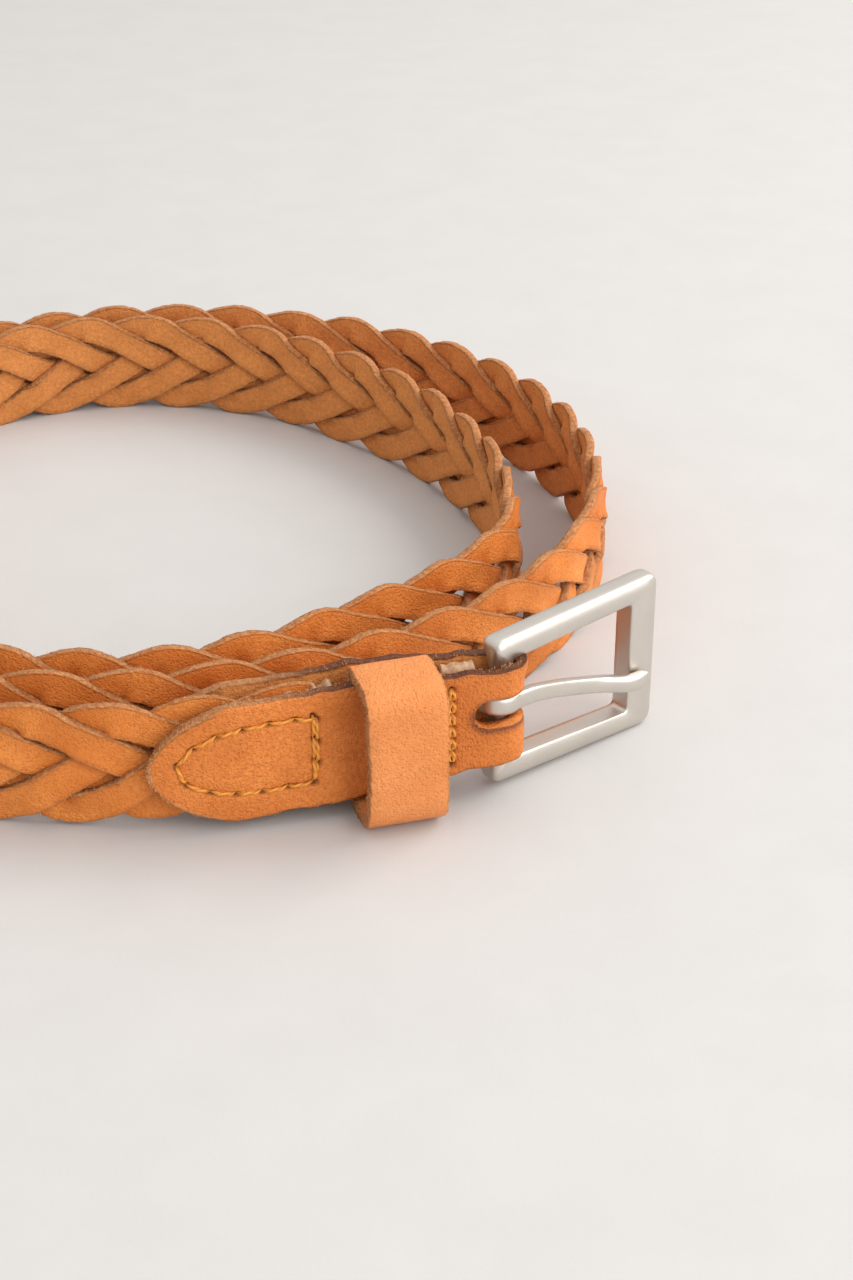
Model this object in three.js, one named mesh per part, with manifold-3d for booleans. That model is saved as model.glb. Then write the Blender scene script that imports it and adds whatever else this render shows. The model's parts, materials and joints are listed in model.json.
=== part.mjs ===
// Braided leather belt, lying coiled and standing on its lower edge.
// Units are millimetres and Z is up. The strap's lower edge stands on Z = 0.
//
// Places on the strap are given as (distance, outward, height):
//   distance  along the coil from the buckle bar towards the tip,
//   outward   from the strap's middle layer towards the outside of the coil,
//   height    above the ground, before the slight rise of the strap towards the buckle.
import * as THREE from 'three';
import { mergeVertices } from 'three/addons/utils/BufferGeometryUtils.js';
import Module from 'manifold-3d';

// ---- Driving dimensions ----

// The coil's centre line: bearing in degrees and distance from the coil's centre, from the buckle inwards.
const COIL = [
  [-50, 88.0], [-62, 80.6], [-90, 78.6], [-130, 80.2], [-180, 81.0], [-220, 82.6], [-255, 83.6],
  [-285, 81.4], [-330, 78.4], [-360, 75.6], [-395, 70.6], [-425, 66.9], [-450, 67.8], [-500, 72.4],
  [-550, 76.0], [-600, 78.6], [-618, 78.2], [-640, 71.8], [-660, 64.4], [-690, 59.4], [-715, 59.8],
  [-735, 61.2], [-755, 58.4], [-775, 57.0], [-800, 60.8], [-830, 63.2], [-865, 65.6], [-902, 67.4],
];

const STRAP_MIDDLE = 10.0; // height of the strap's middle line where it stands on its edge
const BUCKLE_RISE = 3.75; // how far the strap's middle line has risen at the buckle bar
const RISE_LENGTH = 85.0;
const RISE_POWER = 1.4;

const THONG_COUNT = 5;
const BRAID_PERIOD = 62.7; // length in which one thong crosses the strap and comes back
const THONG_WIDTH = 4.2;
const THONG_THICKNESS = 1.0;
const LAYER_OFFSET = 1.1; // distance of a thong's middle from the braid's middle layer
const EDGE_HEIGHT = 7.9; // a thong's middle where it turns back at the strap's edge
const BRAID_SHIFT = 7.0; // moves the braid's pattern along the strap
const TURN_ANGLE = 12; // half of the turn at the edge, in degrees of the braid's period
const STEP_ANGLE = 3; // half of the step between the two layers

const LEAF_INNER = 2.1; // from the strap's middle layer to the flesh side of a leather leaf
const LEAF_THICKNESS = 1.9;
const LEAF_OUTER = LEAF_INNER + LEAF_THICKNESS;
const TAB_LENGTH = 52.0; // from the bar to the point of the cap
const TAB_HALF_WIDTH = 9.5;
const TAB_BUCKLE_HALF_WIDTH = 7.8;
const TAB_TAPER = [2.0, 22.0]; // distances between which the tab widens
const POINT_LENGTH = 11.0; // length of the rounded point of the cap and of the tip
const SLOT_REACH = 4.5; // how far the prong's slot runs from the bar along both leaves
const SLOT_HALF_HEIGHT = 2.0;
const BRAID_START = 28.5; // the thongs end here, between the tab's leaves
const FILLER = { start: 24.0, end: 28.0, halfThickness: 1.75, halfWidth: 8.6 };

const TIP_LENGTH = 58.0;
const TIP_HALF_WIDTH = 9.5;
const BRAID_END_MARGIN = 12.0; // the thongs end this far before the end of the tip

const THREAD_WIDTH = 0.7;
const THREAD_GAP = 0.12; // between the leather and the thread
const THREAD_HEIGHT = 0.5;
const THREAD_DIP = 0.24; // a thread is this much lower where it goes into the leather
const STITCH_PITCH = 3.1;
const CAP_SEAM = { start: 27.0, end: 48.3, halfWidth: 5.9 };
const BUCKLE_SEAM = { distance: 7.7, halfWidth: 6.3 };
const TIP_SEAM_INSET = 3.4;

const BAR_RADIUS = 1.5;
const FRAME_AZIMUTH = 39; // degrees, the direction of the buckle frame from the bar
const FRAME_DEPTH = 3.9;
const FRAME_BAR_END = -1.8; // the arms reach this far behind the bar's axis
const FRAME_FAR_END = 30.9;
const FRAME_DROP = 0.55; // the frame's middle is this much lower than the tab's
const FRAME_HALF_HEIGHT = [12.2, 13.2]; // at the bar and at the far end
const ARM_WIDTH = 3.7;
const END_WIDTH = 5.5;
const FRAME_EDGE_ROUNDING = 0.8;

const PRONG_WIDTH = 3.0;
const PRONG_THICKNESS = 1.9;
const PRONG_EYE = { inner: 1.8, outer: 3.1 };
const PRONG_LINE = [[1.2, 2.0], [5.0, 2.0], [9.0, 1.4], [16.0, 0.9], [20.4, 1.3], [24.2, 2.95], [28.6, 3.25]];
const PRONG_LIFT = 1.5; // the prong's eye and its slot sit this far above the frame's middle
const PRONG_DROOP = [[0, 0], [5, -0.1], [9, -1.1], [16, -3.2], [21.4, -4.5], [24.8, -4.9], [30, -4.6]];

const KEEPER_DISTANCE = 15.9; // middle of the keeper loop
const KEEPER_WIDTH = 12.3;
const KEEPER_THICKNESS = 1.8;
const KEEPER_BACK = 1.35; // half of the doubled leather where it passes between the tab's leaves
const KEEPER_FRONT = 11.2;
const KEEPER_TOP = 24.2;

const LEATHER = { color: 0xc87941, roughness: 0.62, metalness: 0.0 };
const CUT_LEATHER = { color: 0xb98a5c, roughness: 0.85, metalness: 0.0 };
const KEEPER_LEATHER = { color: 0xd08a54, roughness: 0.58, metalness: 0.0 };
const THREAD = { color: 0xb8862f, roughness: 0.7, metalness: 0.0 };
const NICKEL = { color: 0xb9b6ae, roughness: 0.32, metalness: 1.0 };

const wasm = await Module();
wasm.setup();

// ---- The coil ----

/** Distance of the centre line from the coil's centre at a bearing, by a smooth curve through COIL. */
function coilRadius(bearing) {
  let i = 0;
  while (i < COIL.length - 2 && bearing < COIL[i + 1][0]) {
    i += 1;
  }
  const slopeAt = (k) => {
    const before = COIL[Math.max(k - 1, 0)];
    const after = COIL[Math.min(k + 1, COIL.length - 1)];
    return (after[1] - before[1]) / (after[0] - before[0]);
  };
  const [startBearing, startRadius] = COIL[i];
  const [endBearing, endRadius] = COIL[i + 1];
  const span = endBearing - startBearing;
  const t = (bearing - startBearing) / span;
  const t2 = t * t;
  const t3 = t2 * t;
  return (2 * t3 - 3 * t2 + 1) * startRadius + (t3 - 2 * t2 + t) * span * slopeAt(i)
    + (3 * t2 - 2 * t3) * endRadius + (t3 - t2) * span * slopeAt(i + 1);
}

/** The centre line as points one degree apart. */
function coilLine() {
  const points = [];
  for (let bearing = COIL[0][0]; bearing >= COIL[COIL.length - 1][0]; bearing -= 1) {
    const radius = coilRadius(bearing);
    const angle = THREE.MathUtils.degToRad(bearing);
    points.push(new THREE.Vector2(radius * Math.cos(angle), radius * Math.sin(angle)));
  }
  return points;
}

const LINE = coilLine();
const LINE_LENGTHS = [0];
for (let i = 1; i < LINE.length; i += 1) {
  LINE_LENGTHS.push(LINE_LENGTHS[i - 1] + LINE[i].distanceTo(LINE[i - 1]));
}
const BELT_LENGTH = LINE_LENGTHS[LINE_LENGTHS.length - 1];

/** A point of the centre line. Before the bar and past the tip the line goes on straight. */
function linePoint(distance) {
  let i = 0;
  while (i < LINE.length - 2 && LINE_LENGTHS[i + 1] < distance) {
    i += 1;
  }
  const t = (distance - LINE_LENGTHS[i]) / (LINE_LENGTHS[i + 1] - LINE_LENGTHS[i]);
  return LINE[i].clone().lerp(LINE[i + 1], t);
}

/** The unit direction of the centre line, away from the buckle. */
function lineDirection(distance) {
  const reach = 1.5;
  return linePoint(distance + reach).sub(linePoint(distance - reach)).normalize();
}

/** How far the strap has risen above the ground at a distance from the buckle bar. */
function riseAt(distance) {
  return BUCKLE_RISE * THREE.MathUtils.clamp(1 - distance / RISE_LENGTH, 0, 1) ** RISE_POWER;
}

/** The point in space of a place on the strap. */
function place(distance, outward, height) {
  const point = linePoint(distance);
  const direction = lineDirection(distance);
  const x = point.x - direction.y * outward;
  const y = point.y + direction.x * outward;
  return new THREE.Vector3(x, y, height + riseAt(distance));
}

// ---- Bodies from three.js geometries ----

/** Keeps only the positions and joins the corners that faces share. */
function welded(geometry) {
  geometry.deleteAttribute('normal');
  geometry.deleteAttribute('uv');
  return mergeVertices(geometry, 1e-5);
}

/** A box bent through stations of four corners: low inside, low outside, high inside, high outside. */
function strip(stations) {
  const last = stations.length - 1;
  const box = new THREE.BoxGeometry(1, 1, 1, last, 1, 1);
  const position = box.getAttribute('position');
  for (let i = 0; i < position.count; i += 1) {
    const index = Math.round((position.getX(i) + 0.5) * last);
    const corner = (position.getZ(i) > 0 ? 2 : 0) + (position.getY(i) > 0 ? 1 : 0);
    const point = stations[index][corner];
    position.setXYZ(i, point.x, point.y, point.z);
  }
  return welded(box);
}

/** A torus bent into a closed loop through stations of four corners, in order round the section. */
function loop(stations) {
  const count = stations.length;
  const torus = new THREE.TorusGeometry(2, 1, 4, count);
  const position = torus.getAttribute('position');
  const uv = torus.getAttribute('uv');
  for (let i = 0; i < position.count; i += 1) {
    const index = Math.round(uv.getX(i) * count) % count;
    const corner = Math.round(uv.getY(i) * 4) % 4;
    const point = stations[index][corner];
    position.setXYZ(i, point.x, point.y, point.z);
  }
  return welded(torus);
}

function toSolid(geometry) {
  const joined = welded(geometry);
  const vertProperties = Float32Array.from(joined.getAttribute('position').array);
  const triVerts = Uint32Array.from(joined.index.array);
  return new wasm.Manifold(new wasm.Mesh({ numProp: 3, vertProperties, triVerts }));
}

function toGeometry(solid) {
  const result = solid.getMesh();
  const geometry = new THREE.BufferGeometry();
  geometry.setAttribute('position', new THREE.BufferAttribute(Float32Array.from(result.vertProperties), 3));
  geometry.setIndex(new THREE.BufferAttribute(Uint32Array.from(result.triVerts), 1));
  return geometry;
}

function piece(name, geometry, look) {
  const mesh = new THREE.Mesh(geometry, new THREE.MeshStandardMaterial(look));
  mesh.name = name;
  return mesh;
}

// ---- Braid ----

const EDGE_RUN = (90 - TURN_ANGLE) / 360 * BRAID_PERIOD;
const THONG_SLOPE = Math.atan2(EDGE_HEIGHT, EDGE_RUN);

/** The sections of a thong in one period, in order away from the buckle. */
function thongSections() {
  const half = THONG_WIDTH / 2;
  const turn = { lean: THONG_SLOPE / 2, half: half / Math.cos(THONG_SLOPE / 2) };
  const crossing = { lean: Math.PI / 2 - THONG_SLOPE, half: half / Math.sin(2 * THONG_SLOPE) };
  const stepHeight = STEP_ANGLE / 360 * BRAID_PERIOD * Math.tan(THONG_SLOPE);
  const section = (angle, height, side, shape, leanSign) => (
    { angle, height, side, half: shape.half, lean: shape.lean * leanSign });
  return [
    section(TURN_ANGLE, EDGE_HEIGHT, -1, turn, 1),
    section(90 - STEP_ANGLE, stepHeight, -1, crossing, 1),
    section(90 + STEP_ANGLE, -stepHeight, 1, crossing, 1),
    section(180 - TURN_ANGLE, -EDGE_HEIGHT, 1, turn, 1),
    section(180 + TURN_ANGLE, -EDGE_HEIGHT, -1, turn, -1),
    section(270 - STEP_ANGLE, -stepHeight, -1, crossing, -1),
    section(270 + STEP_ANGLE, stepHeight, 1, crossing, -1),
    section(360 - TURN_ANGLE, EDGE_HEIGHT, 1, turn, -1),
  ];
}

/** One thong, from between the tab's leaves to between the tip's leaves. */
function thong(number) {
  const start = BRAID_START;
  const end = BELT_LENGTH - BRAID_END_MARGIN;
  const sections = thongSections();
  const firstPeriod = Math.floor(start / BRAID_PERIOD) - 1;
  const lastPeriod = Math.ceil(end / BRAID_PERIOD) + 1;
  const stations = [];
  for (let period = firstPeriod; period <= lastPeriod; period += 1) {
    for (const { angle, height, side, half, lean } of sections) {
      const distance = (period + angle / 360 + number / THONG_COUNT) * BRAID_PERIOD + BRAID_SHIFT;
      const along = Math.sin(lean) * half;
      const up = Math.cos(lean) * half;
      if (distance - Math.abs(along) < start || distance + Math.abs(along) > end) {
        continue;
      }
      const middle = side * LAYER_OFFSET;
      const inside = middle - THONG_THICKNESS / 2;
      const outside = middle + THONG_THICKNESS / 2;
      const low = STRAP_MIDDLE + height - up;
      const high = STRAP_MIDDLE + height + up;
      stations.push([
        place(distance - along, inside, low),
        place(distance - along, outside, low),
        place(distance + along, inside, high),
        place(distance + along, outside, high),
      ]);
    }
  }
  return strip(stations);
}

// ---- Leather leaves ----

/** Half the width of a leaf that ends in a rounded point. */
function pointedHalfWidth(fromPoint, fullHalfWidth) {
  const t = THREE.MathUtils.clamp(fromPoint / POINT_LENGTH, 0.006, 1);
  return fullHalfWidth * Math.sqrt(1 - (1 - t) ** 2);
}

function tabHalfWidth(distance) {
  const [from, to] = TAB_TAPER;
  const t = THREE.MathUtils.clamp((distance - from) / (to - from), 0, 1);
  const full = THREE.MathUtils.lerp(TAB_BUCKLE_HALF_WIDTH, TAB_HALF_WIDTH, t);
  return pointedHalfWidth(TAB_LENGTH - distance, full);
}

/** Four corners of a leaf's section at a place on the strap. */
function leafStation(distance, inner, outer, halfWidth) {
  return [
    place(distance, inner, STRAP_MIDDLE - halfWidth),
    place(distance, outer, STRAP_MIDDLE - halfWidth),
    place(distance, inner, STRAP_MIDDLE + halfWidth),
    place(distance, outer, STRAP_MIDDLE + halfWidth),
  ];
}

/** Distances along a leaf, closer together in its rounded point. */
function leafDistances(start, end) {
  const distances = [];
  for (let distance = start; distance < end - POINT_LENGTH - 2; distance += 5.5) {
    distances.push(distance);
  }
  for (const fromPoint of [1, 0.7, 0.45, 0.25, 0.12, 0.04, 0]) {
    distances.push(end - fromPoint * POINT_LENGTH);
  }
  return distances;
}

/** The buckle tab: one piece of leather folded round the bar, with the prong's slot through the fold. */
function buckleTab() {
  const distances = leafDistances(0, TAB_LENGTH);
  const stations = [];
  for (const distance of [...distances].reverse()) {
    stations.push(leafStation(distance, -LEAF_INNER, -LEAF_OUTER, tabHalfWidth(distance)));
  }
  for (let angle = -72; angle <= 72; angle += 18) {
    const turn = THREE.MathUtils.degToRad(angle);
    const across = Math.sin(turn);
    const along = -Math.cos(turn);
    const low = STRAP_MIDDLE - TAB_BUCKLE_HALF_WIDTH;
    const high = STRAP_MIDDLE + TAB_BUCKLE_HALF_WIDTH;
    stations.push([
      place(LEAF_INNER * along, LEAF_INNER * across, low),
      place(LEAF_OUTER * along, LEAF_OUTER * across, low),
      place(LEAF_INNER * along, LEAF_INNER * across, high),
      place(LEAF_OUTER * along, LEAF_OUTER * across, high),
    ]);
  }
  for (const distance of distances) {
    stations.push(leafStation(distance, LEAF_INNER, LEAF_OUTER, tabHalfWidth(distance)));
  }
  const slot = [];
  const slotMiddle = STRAP_MIDDLE - FRAME_DROP + PRONG_LIFT;
  for (const [fromEnd, half] of [[SLOT_REACH + 6, 1], [2, 1], [0.6, 0.7], [0, 0.3]]) {
    const distance = SLOT_REACH - fromEnd;
    const low = slotMiddle - half * SLOT_HALF_HEIGHT;
    const high = slotMiddle + half * SLOT_HALF_HEIGHT;
    slot.push([
      place(distance, -LEAF_OUTER - 1, low),
      place(distance, LEAF_OUTER + 1, low),
      place(distance, -LEAF_OUTER - 1, high),
      place(distance, LEAF_OUTER + 1, high),
    ]);
  }
  return toGeometry(toSolid(strip(stations)).subtract(toSolid(strip(slot))));
}

/** The packing between the tab's leaves, between the keeper and the ends of the thongs. */
function tabFiller() {
  const stations = [];
  for (let i = 0; i <= 2; i += 1) {
    const distance = THREE.MathUtils.lerp(FILLER.start, FILLER.end, i / 2);
    const half = FILLER.halfThickness;
    stations.push(leafStation(distance, -half, half, FILLER.halfWidth));
  }
  return strip(stations);
}

/** One leaf of the tip. Its side is 1 outside the coil and -1 inside. */
function tipLeaf(side) {
  const start = BELT_LENGTH - TIP_LENGTH;
  const stations = [];
  for (const distance of leafDistances(start, BELT_LENGTH)) {
    const half = pointedHalfWidth(BELT_LENGTH - distance, TIP_HALF_WIDTH);
    const near = side > 0 ? LEAF_INNER : -LEAF_OUTER;
    stations.push(leafStation(distance, near, near + LEAF_THICKNESS, half));
  }
  return strip(stations);
}

// ---- Stitching ----

/** A thread along a seam of [distance, height] places on a leaf's face. Side is 1 outside and -1 inside. */
function threadStations(seam, side, closed) {
  const curve = new THREE.CurvePath();
  for (let i = 1; i < seam.length; i += 1) {
    curve.add(new THREE.LineCurve(new THREE.Vector2(...seam[i - 1]), new THREE.Vector2(...seam[i])));
  }
  if (closed) {
    curve.add(new THREE.LineCurve(new THREE.Vector2(...seam[seam.length - 1]), new THREE.Vector2(...seam[0])));
  }
  const stitches = Math.round(curve.getLength() / STITCH_PITCH);
  const count = stitches * 2;
  const stations = [];
  for (let i = 0; i < count + (closed ? 0 : 1); i += 1) {
    const t = i / count;
    const point = curve.getPointAt(t);
    const reach = 0.4 / count;
    const before = curve.getPointAt(closed ? (t - reach + 1) % 1 : Math.max(t - reach, 0));
    const after = curve.getPointAt(closed ? (t + reach) % 1 : Math.min(t + reach, 1));
    const direction = after.sub(before).normalize();
    const inHole = i % 2 === 0;
    const half = THREAD_WIDTH / 2 * (inHole ? 0.6 : 1);
    const bottom = LEAF_OUTER + THREAD_GAP;
    const top = bottom + THREAD_HEIGHT - (inHole ? THREAD_DIP : 0);
    const corner = (across, outward) => place(
      point.x - direction.y * across * side,
      outward * side,
      STRAP_MIDDLE + point.y + direction.x * across * side,
    );
    stations.push([corner(-half, bottom), corner(-half, top), corner(half, bottom), corner(half, top)]);
  }
  return stations;
}

/** A row of stitches as one thread body. */
function openSeam(seam, side) {
  return strip(threadStations(seam, side, false));
}

/** A closed outline of stitches as one thread body. */
function closedSeam(seam, side) {
  const stations = threadStations(seam, side, true);
  return loop(stations.map(([lowRight, highRight, lowLeft, highLeft]) => (
    [highRight, lowRight, lowLeft, highLeft])));
}

/** The outline of the cap's stitching: a row across the tab and a pointed arch. */
function capSeam() {
  const seam = [];
  const { start, end, halfWidth } = CAP_SEAM;
  for (let i = -4; i <= 4; i += 1) {
    const angle = i / 4 * Math.PI / 2;
    seam.push([end - 12 + 12 * Math.cos(angle), halfWidth * Math.sin(angle)]);
  }
  seam.push([start, halfWidth]);
  seam.push([start, -halfWidth]);
  return seam;
}

function tipSeam() {
  const seam = [];
  const halfWidth = TIP_HALF_WIDTH - TIP_SEAM_INSET;
  const start = BELT_LENGTH - TIP_LENGTH + TIP_SEAM_INSET;
  const end = BELT_LENGTH - TIP_SEAM_INSET;
  for (let i = -4; i <= 4; i += 1) {
    const angle = i / 4 * Math.PI / 2;
    seam.push([end - 12 + 12 * Math.cos(angle), halfWidth * Math.sin(angle)]);
  }
  seam.push([start, halfWidth]);
  seam.push([start, -halfWidth]);
  return seam;
}

function buckleSeam() {
  const { distance, halfWidth } = BUCKLE_SEAM;
  return [[distance, -halfWidth], [distance, halfWidth]];
}

// ---- Buckle ----
// In the buckle's own axes X runs from the bar to the far end, Y is up and Z points out of the coil.

/** The three outer sides of the frame, joined to the round bar. */
function buckleFrame() {
  const [barHalf, farHalf] = FRAME_HALF_HEIGHT;
  const near = FRAME_BAR_END;
  const far = FRAME_FAR_END;
  const inside = far - END_WIDTH;
  const barInner = barHalf - ARM_WIDTH;
  const farInner = farHalf - ARM_WIDTH;
  const nearRound = 1.6;
  const farRound = 2.6;
  const windowRound = 1.2;
  const outline = new THREE.Shape();
  outline.moveTo(near, -barInner);
  outline.lineTo(near, -barHalf + nearRound);
  outline.quadraticCurveTo(near, -barHalf, near + nearRound, -barHalf);
  outline.lineTo(far - farRound, -farHalf);
  outline.quadraticCurveTo(far, -farHalf, far, -farHalf + farRound);
  outline.lineTo(far, farHalf - farRound);
  outline.quadraticCurveTo(far, farHalf, far - farRound, farHalf);
  outline.lineTo(near + nearRound, barHalf);
  outline.quadraticCurveTo(near, barHalf, near, barHalf - nearRound);
  outline.lineTo(near, barInner);
  outline.lineTo(inside - windowRound, farInner);
  outline.quadraticCurveTo(inside, farInner, inside, farInner - windowRound);
  outline.lineTo(inside, -farInner + windowRound);
  outline.quadraticCurveTo(inside, -farInner, inside - windowRound, -farInner);
  outline.closePath();
  const sides = new THREE.ExtrudeGeometry(outline, {
    depth: FRAME_DEPTH - 2 * FRAME_EDGE_ROUNDING,
    curveSegments: 4,
    bevelThickness: FRAME_EDGE_ROUNDING,
    bevelSize: FRAME_EDGE_ROUNDING,
    bevelOffset: -FRAME_EDGE_ROUNDING,
    bevelSegments: 2,
  });
  sides.translate(0, 0, -FRAME_DEPTH / 2 + FRAME_EDGE_ROUNDING);
  const bar = new THREE.CylinderGeometry(BAR_RADIUS, BAR_RADIUS, 2 * barInner + ARM_WIDTH, 16);
  bar.rotateY(Math.PI / 16);
  return toGeometry(toSolid(sides).add(toSolid(bar)));
}

/** Lets the prong's shank hang down along its length, as its eye has play on the bar. */
function droop(geometry) {
  const position = geometry.getAttribute('position');
  for (let i = 0; i < position.count; i += 1) {
    const x = position.getX(i);
    let k = 1;
    while (k < PRONG_DROOP.length - 1 && x > PRONG_DROOP[k][0]) k += 1;
    const [before, after] = [PRONG_DROOP[k - 1], PRONG_DROOP[k]];
    const share = THREE.MathUtils.clamp((x - before[0]) / (after[0] - before[0]), 0, 1);
    position.setY(i, position.getY(i) + THREE.MathUtils.lerp(before[1], after[1], share));
  }
}

/** The prong: an eye round the bar and a bent shank that rests on the frame's far side. */
function buckleProng() {
  const eye = new THREE.Shape();
  eye.absarc(0, 0, PRONG_EYE.outer, 0, 2 * Math.PI);
  const hole = new THREE.Path();
  hole.absarc(0, 0, PRONG_EYE.inner, 0, 2 * Math.PI, true);
  eye.holes.push(hole);
  const middle = new THREE.SplineCurve(PRONG_LINE.map(([x, y]) => new THREE.Vector2(x, y)));
  const upper = [];
  const lower = [];
  const steps = 14;
  for (let i = 0; i <= steps; i += 1) {
    const t = i / steps;
    const point = middle.getPointAt(t);
    const tangent = middle.getTangentAt(t);
    const half = PRONG_THICKNESS / 2 * (i === steps ? 0.55 : 1);
    upper.push(new THREE.Vector2(point.x - tangent.y * half, point.y + tangent.x * half));
    lower.push(new THREE.Vector2(point.x + tangent.y * half, point.y - tangent.x * half));
  }
  const shank = new THREE.Shape([...lower, ...upper.reverse()]);
  const options = {
    depth: PRONG_WIDTH - 0.8,
    curveSegments: 20,
    bevelThickness: 0.4,
    bevelSize: 0.3,
    bevelOffset: -0.3,
    bevelSegments: 1,
  };
  const parts = [eye, shank].map((shape) => {
    const geometry = new THREE.ExtrudeGeometry(shape, options);
    geometry.translate(0, 0, -PRONG_WIDTH / 2 + 0.4);
    geometry.rotateX(Math.PI / 2);
    if (shape === shank) droop(geometry);
    geometry.translate(0, PRONG_LIFT, 0);
    return toSolid(geometry);
  });
  return toGeometry(parts[0].add(parts[1]));
}

/** A group whose X, Y and Z axes are the given directions, at the given point. */
function turnedGroup(xAxis, yAxis, zAxis, point) {
  const group = new THREE.Group();
  group.quaternion.setFromRotationMatrix(new THREE.Matrix4().makeBasis(xAxis, yAxis, zAxis));
  group.position.copy(point);
  return group;
}

const UP = new THREE.Vector3(0, 0, 1);

function buckle() {
  const azimuth = THREE.MathUtils.degToRad(FRAME_AZIMUTH);
  const along = new THREE.Vector3(Math.cos(azimuth), Math.sin(azimuth), 0);
  const outward = new THREE.Vector3(Math.sin(azimuth), -Math.cos(azimuth), 0);
  const group = turnedGroup(along, UP, outward, place(0, 0, STRAP_MIDDLE - FRAME_DROP));
  group.add(piece('buckle_frame', buckleFrame(), NICKEL));
  group.add(piece('buckle_prong', buckleProng(), NICKEL));
  return group;
}

// ---- Keeper loop ----

/** A rectangle with its own rounding at each corner: low right, high right, high left, low left. */
function roundedRectangle(path, [left, right, low, high], rounds) {
  const [lowRight, highRight, highLeft, lowLeft] = rounds;
  path.moveTo(left + lowLeft, low);
  path.lineTo(right - lowRight, low);
  path.quadraticCurveTo(right, low, right, low + lowRight);
  path.lineTo(right, high - highRight);
  path.quadraticCurveTo(right, high, right - highRight, high);
  path.lineTo(left + highLeft, high);
  path.quadraticCurveTo(left, high, left, high - highLeft);
  path.lineTo(left, low + lowLeft);
  path.quadraticCurveTo(left, low, left + lowLeft, low);
  return path;
}

/** The keeper: a band round the tab's front leaf, with its joined ends hidden between the leaves. */
function keeper() {
  const wall = KEEPER_THICKNESS;
  const outer = [-KEEPER_BACK, KEEPER_FRONT, 0, KEEPER_TOP];
  const inner = [KEEPER_BACK, KEEPER_FRONT - wall, wall, KEEPER_TOP - wall];
  const band = roundedRectangle(new THREE.Shape(), outer, [5.2, 3.4, 4.4, 4.4]);
  band.holes.push(roundedRectangle(new THREE.Path(), inner, [3.6, 1.8, 0.2, 1.2]));
  const geometry = new THREE.ExtrudeGeometry(band, {
    depth: KEEPER_WIDTH - 0.6,
    curveSegments: 5,
    bevelThickness: 0.3,
    bevelSize: 0.25,
    bevelOffset: -0.25,
    bevelSegments: 1,
  });
  geometry.translate(0, 0, -KEEPER_WIDTH / 2 + 0.3);
  const direction = lineDirection(KEEPER_DISTANCE);
  const outward = new THREE.Vector3(-direction.y, direction.x, 0);
  const point = linePoint(KEEPER_DISTANCE);
  const position = new THREE.Vector3(point.x, point.y, 0);
  const group = turnedGroup(outward, UP, new THREE.Vector3(direction.x, direction.y, 0), position);
  group.add(piece('keeper_loop', toGeometry(toSolid(geometry)), KEEPER_LEATHER));
  return group;
}

// ---- The belt ----

const belt = new THREE.Group();
belt.add(buckle());
belt.add(keeper());
belt.add(piece('buckle_tab', buckleTab(), LEATHER));
belt.add(piece('tab_filler', tabFiller(), CUT_LEATHER));
for (let number = 1; number <= THONG_COUNT; number += 1) {
  belt.add(piece(`thong_${number}`, thong(number), LEATHER));
}
belt.add(piece('tip_front_leaf', tipLeaf(1), LEATHER));
belt.add(piece('tip_back_leaf', tipLeaf(-1), LEATHER));
for (const [face, side] of [['front', 1], ['back', -1]]) {
  belt.add(piece(`cap_stitching_${face}`, closedSeam(capSeam(), side), THREAD));
  belt.add(piece(`buckle_stitching_${face}`, openSeam(buckleSeam(), side), THREAD));
  belt.add(piece(`tip_stitching_${face}`, closedSeam(tipSeam(), side), THREAD));
}

// The origin is below the middle of the belt's bounding box, on the ground.
const bounds = new THREE.Box3().setFromObject(belt);
const middle = bounds.getCenter(new THREE.Vector3());
belt.position.set(-middle.x, -middle.y, -bounds.min.z);
belt.updateMatrixWorld(true);

export default belt;
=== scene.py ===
"""A slim braided leather belt, coiled and standing on its lower edge, with a satin nickel buckle.

Shapes are worked out in millimetres and turned into metres when a mesh is made. A place on the strap is
given by its distance along the coil from the buckle bar, its distance outward from the strap's middle
layer, and its height.
"""

import json
import logging
import math
from dataclasses import dataclass, field
from enum import Enum

import bmesh
import bpy
import numpy as np
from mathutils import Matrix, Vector

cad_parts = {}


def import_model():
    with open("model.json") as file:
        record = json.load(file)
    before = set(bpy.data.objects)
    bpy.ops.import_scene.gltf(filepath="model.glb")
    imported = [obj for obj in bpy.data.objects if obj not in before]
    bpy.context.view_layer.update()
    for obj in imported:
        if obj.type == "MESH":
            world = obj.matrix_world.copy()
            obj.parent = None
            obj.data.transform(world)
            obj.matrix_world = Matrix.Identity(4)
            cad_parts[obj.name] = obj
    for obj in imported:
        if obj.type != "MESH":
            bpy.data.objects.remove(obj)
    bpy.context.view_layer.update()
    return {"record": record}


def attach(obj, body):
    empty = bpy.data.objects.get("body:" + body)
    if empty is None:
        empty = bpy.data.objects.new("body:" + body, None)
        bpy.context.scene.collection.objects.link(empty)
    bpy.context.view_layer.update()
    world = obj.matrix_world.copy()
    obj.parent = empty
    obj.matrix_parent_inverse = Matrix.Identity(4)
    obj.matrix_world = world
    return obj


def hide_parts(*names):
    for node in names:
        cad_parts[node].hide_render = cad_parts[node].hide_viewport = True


LOG = logging.getLogger("belt")
MM = 0.001
GROUND_GAP = 0.02
FACES = (("front", 1), ("back", -1))
Colour = tuple[float, float, float]
Place = tuple[float, float, float]
Pair = tuple[float, float]


def smooth_noise(values: np.ndarray, seed: float) -> np.ndarray:
    """Gives a smooth, repeatable wobble between about -1 and 1.

    Args:
        values: Where to read the wobble, one unit per wave.
        seed: Any number, which picks one wobble.

    Returns:
        The wobble at each value.
    """
    first = np.sin(values * 6.283 + seed * 12.9)
    second = np.sin(values * 10.21 + seed * 7.7 + 1.3)
    third = np.sin(values * 17.9 + seed * 3.1 + 4.0)
    return (first + 0.7 * second + 0.45 * third) / 1.6


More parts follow.
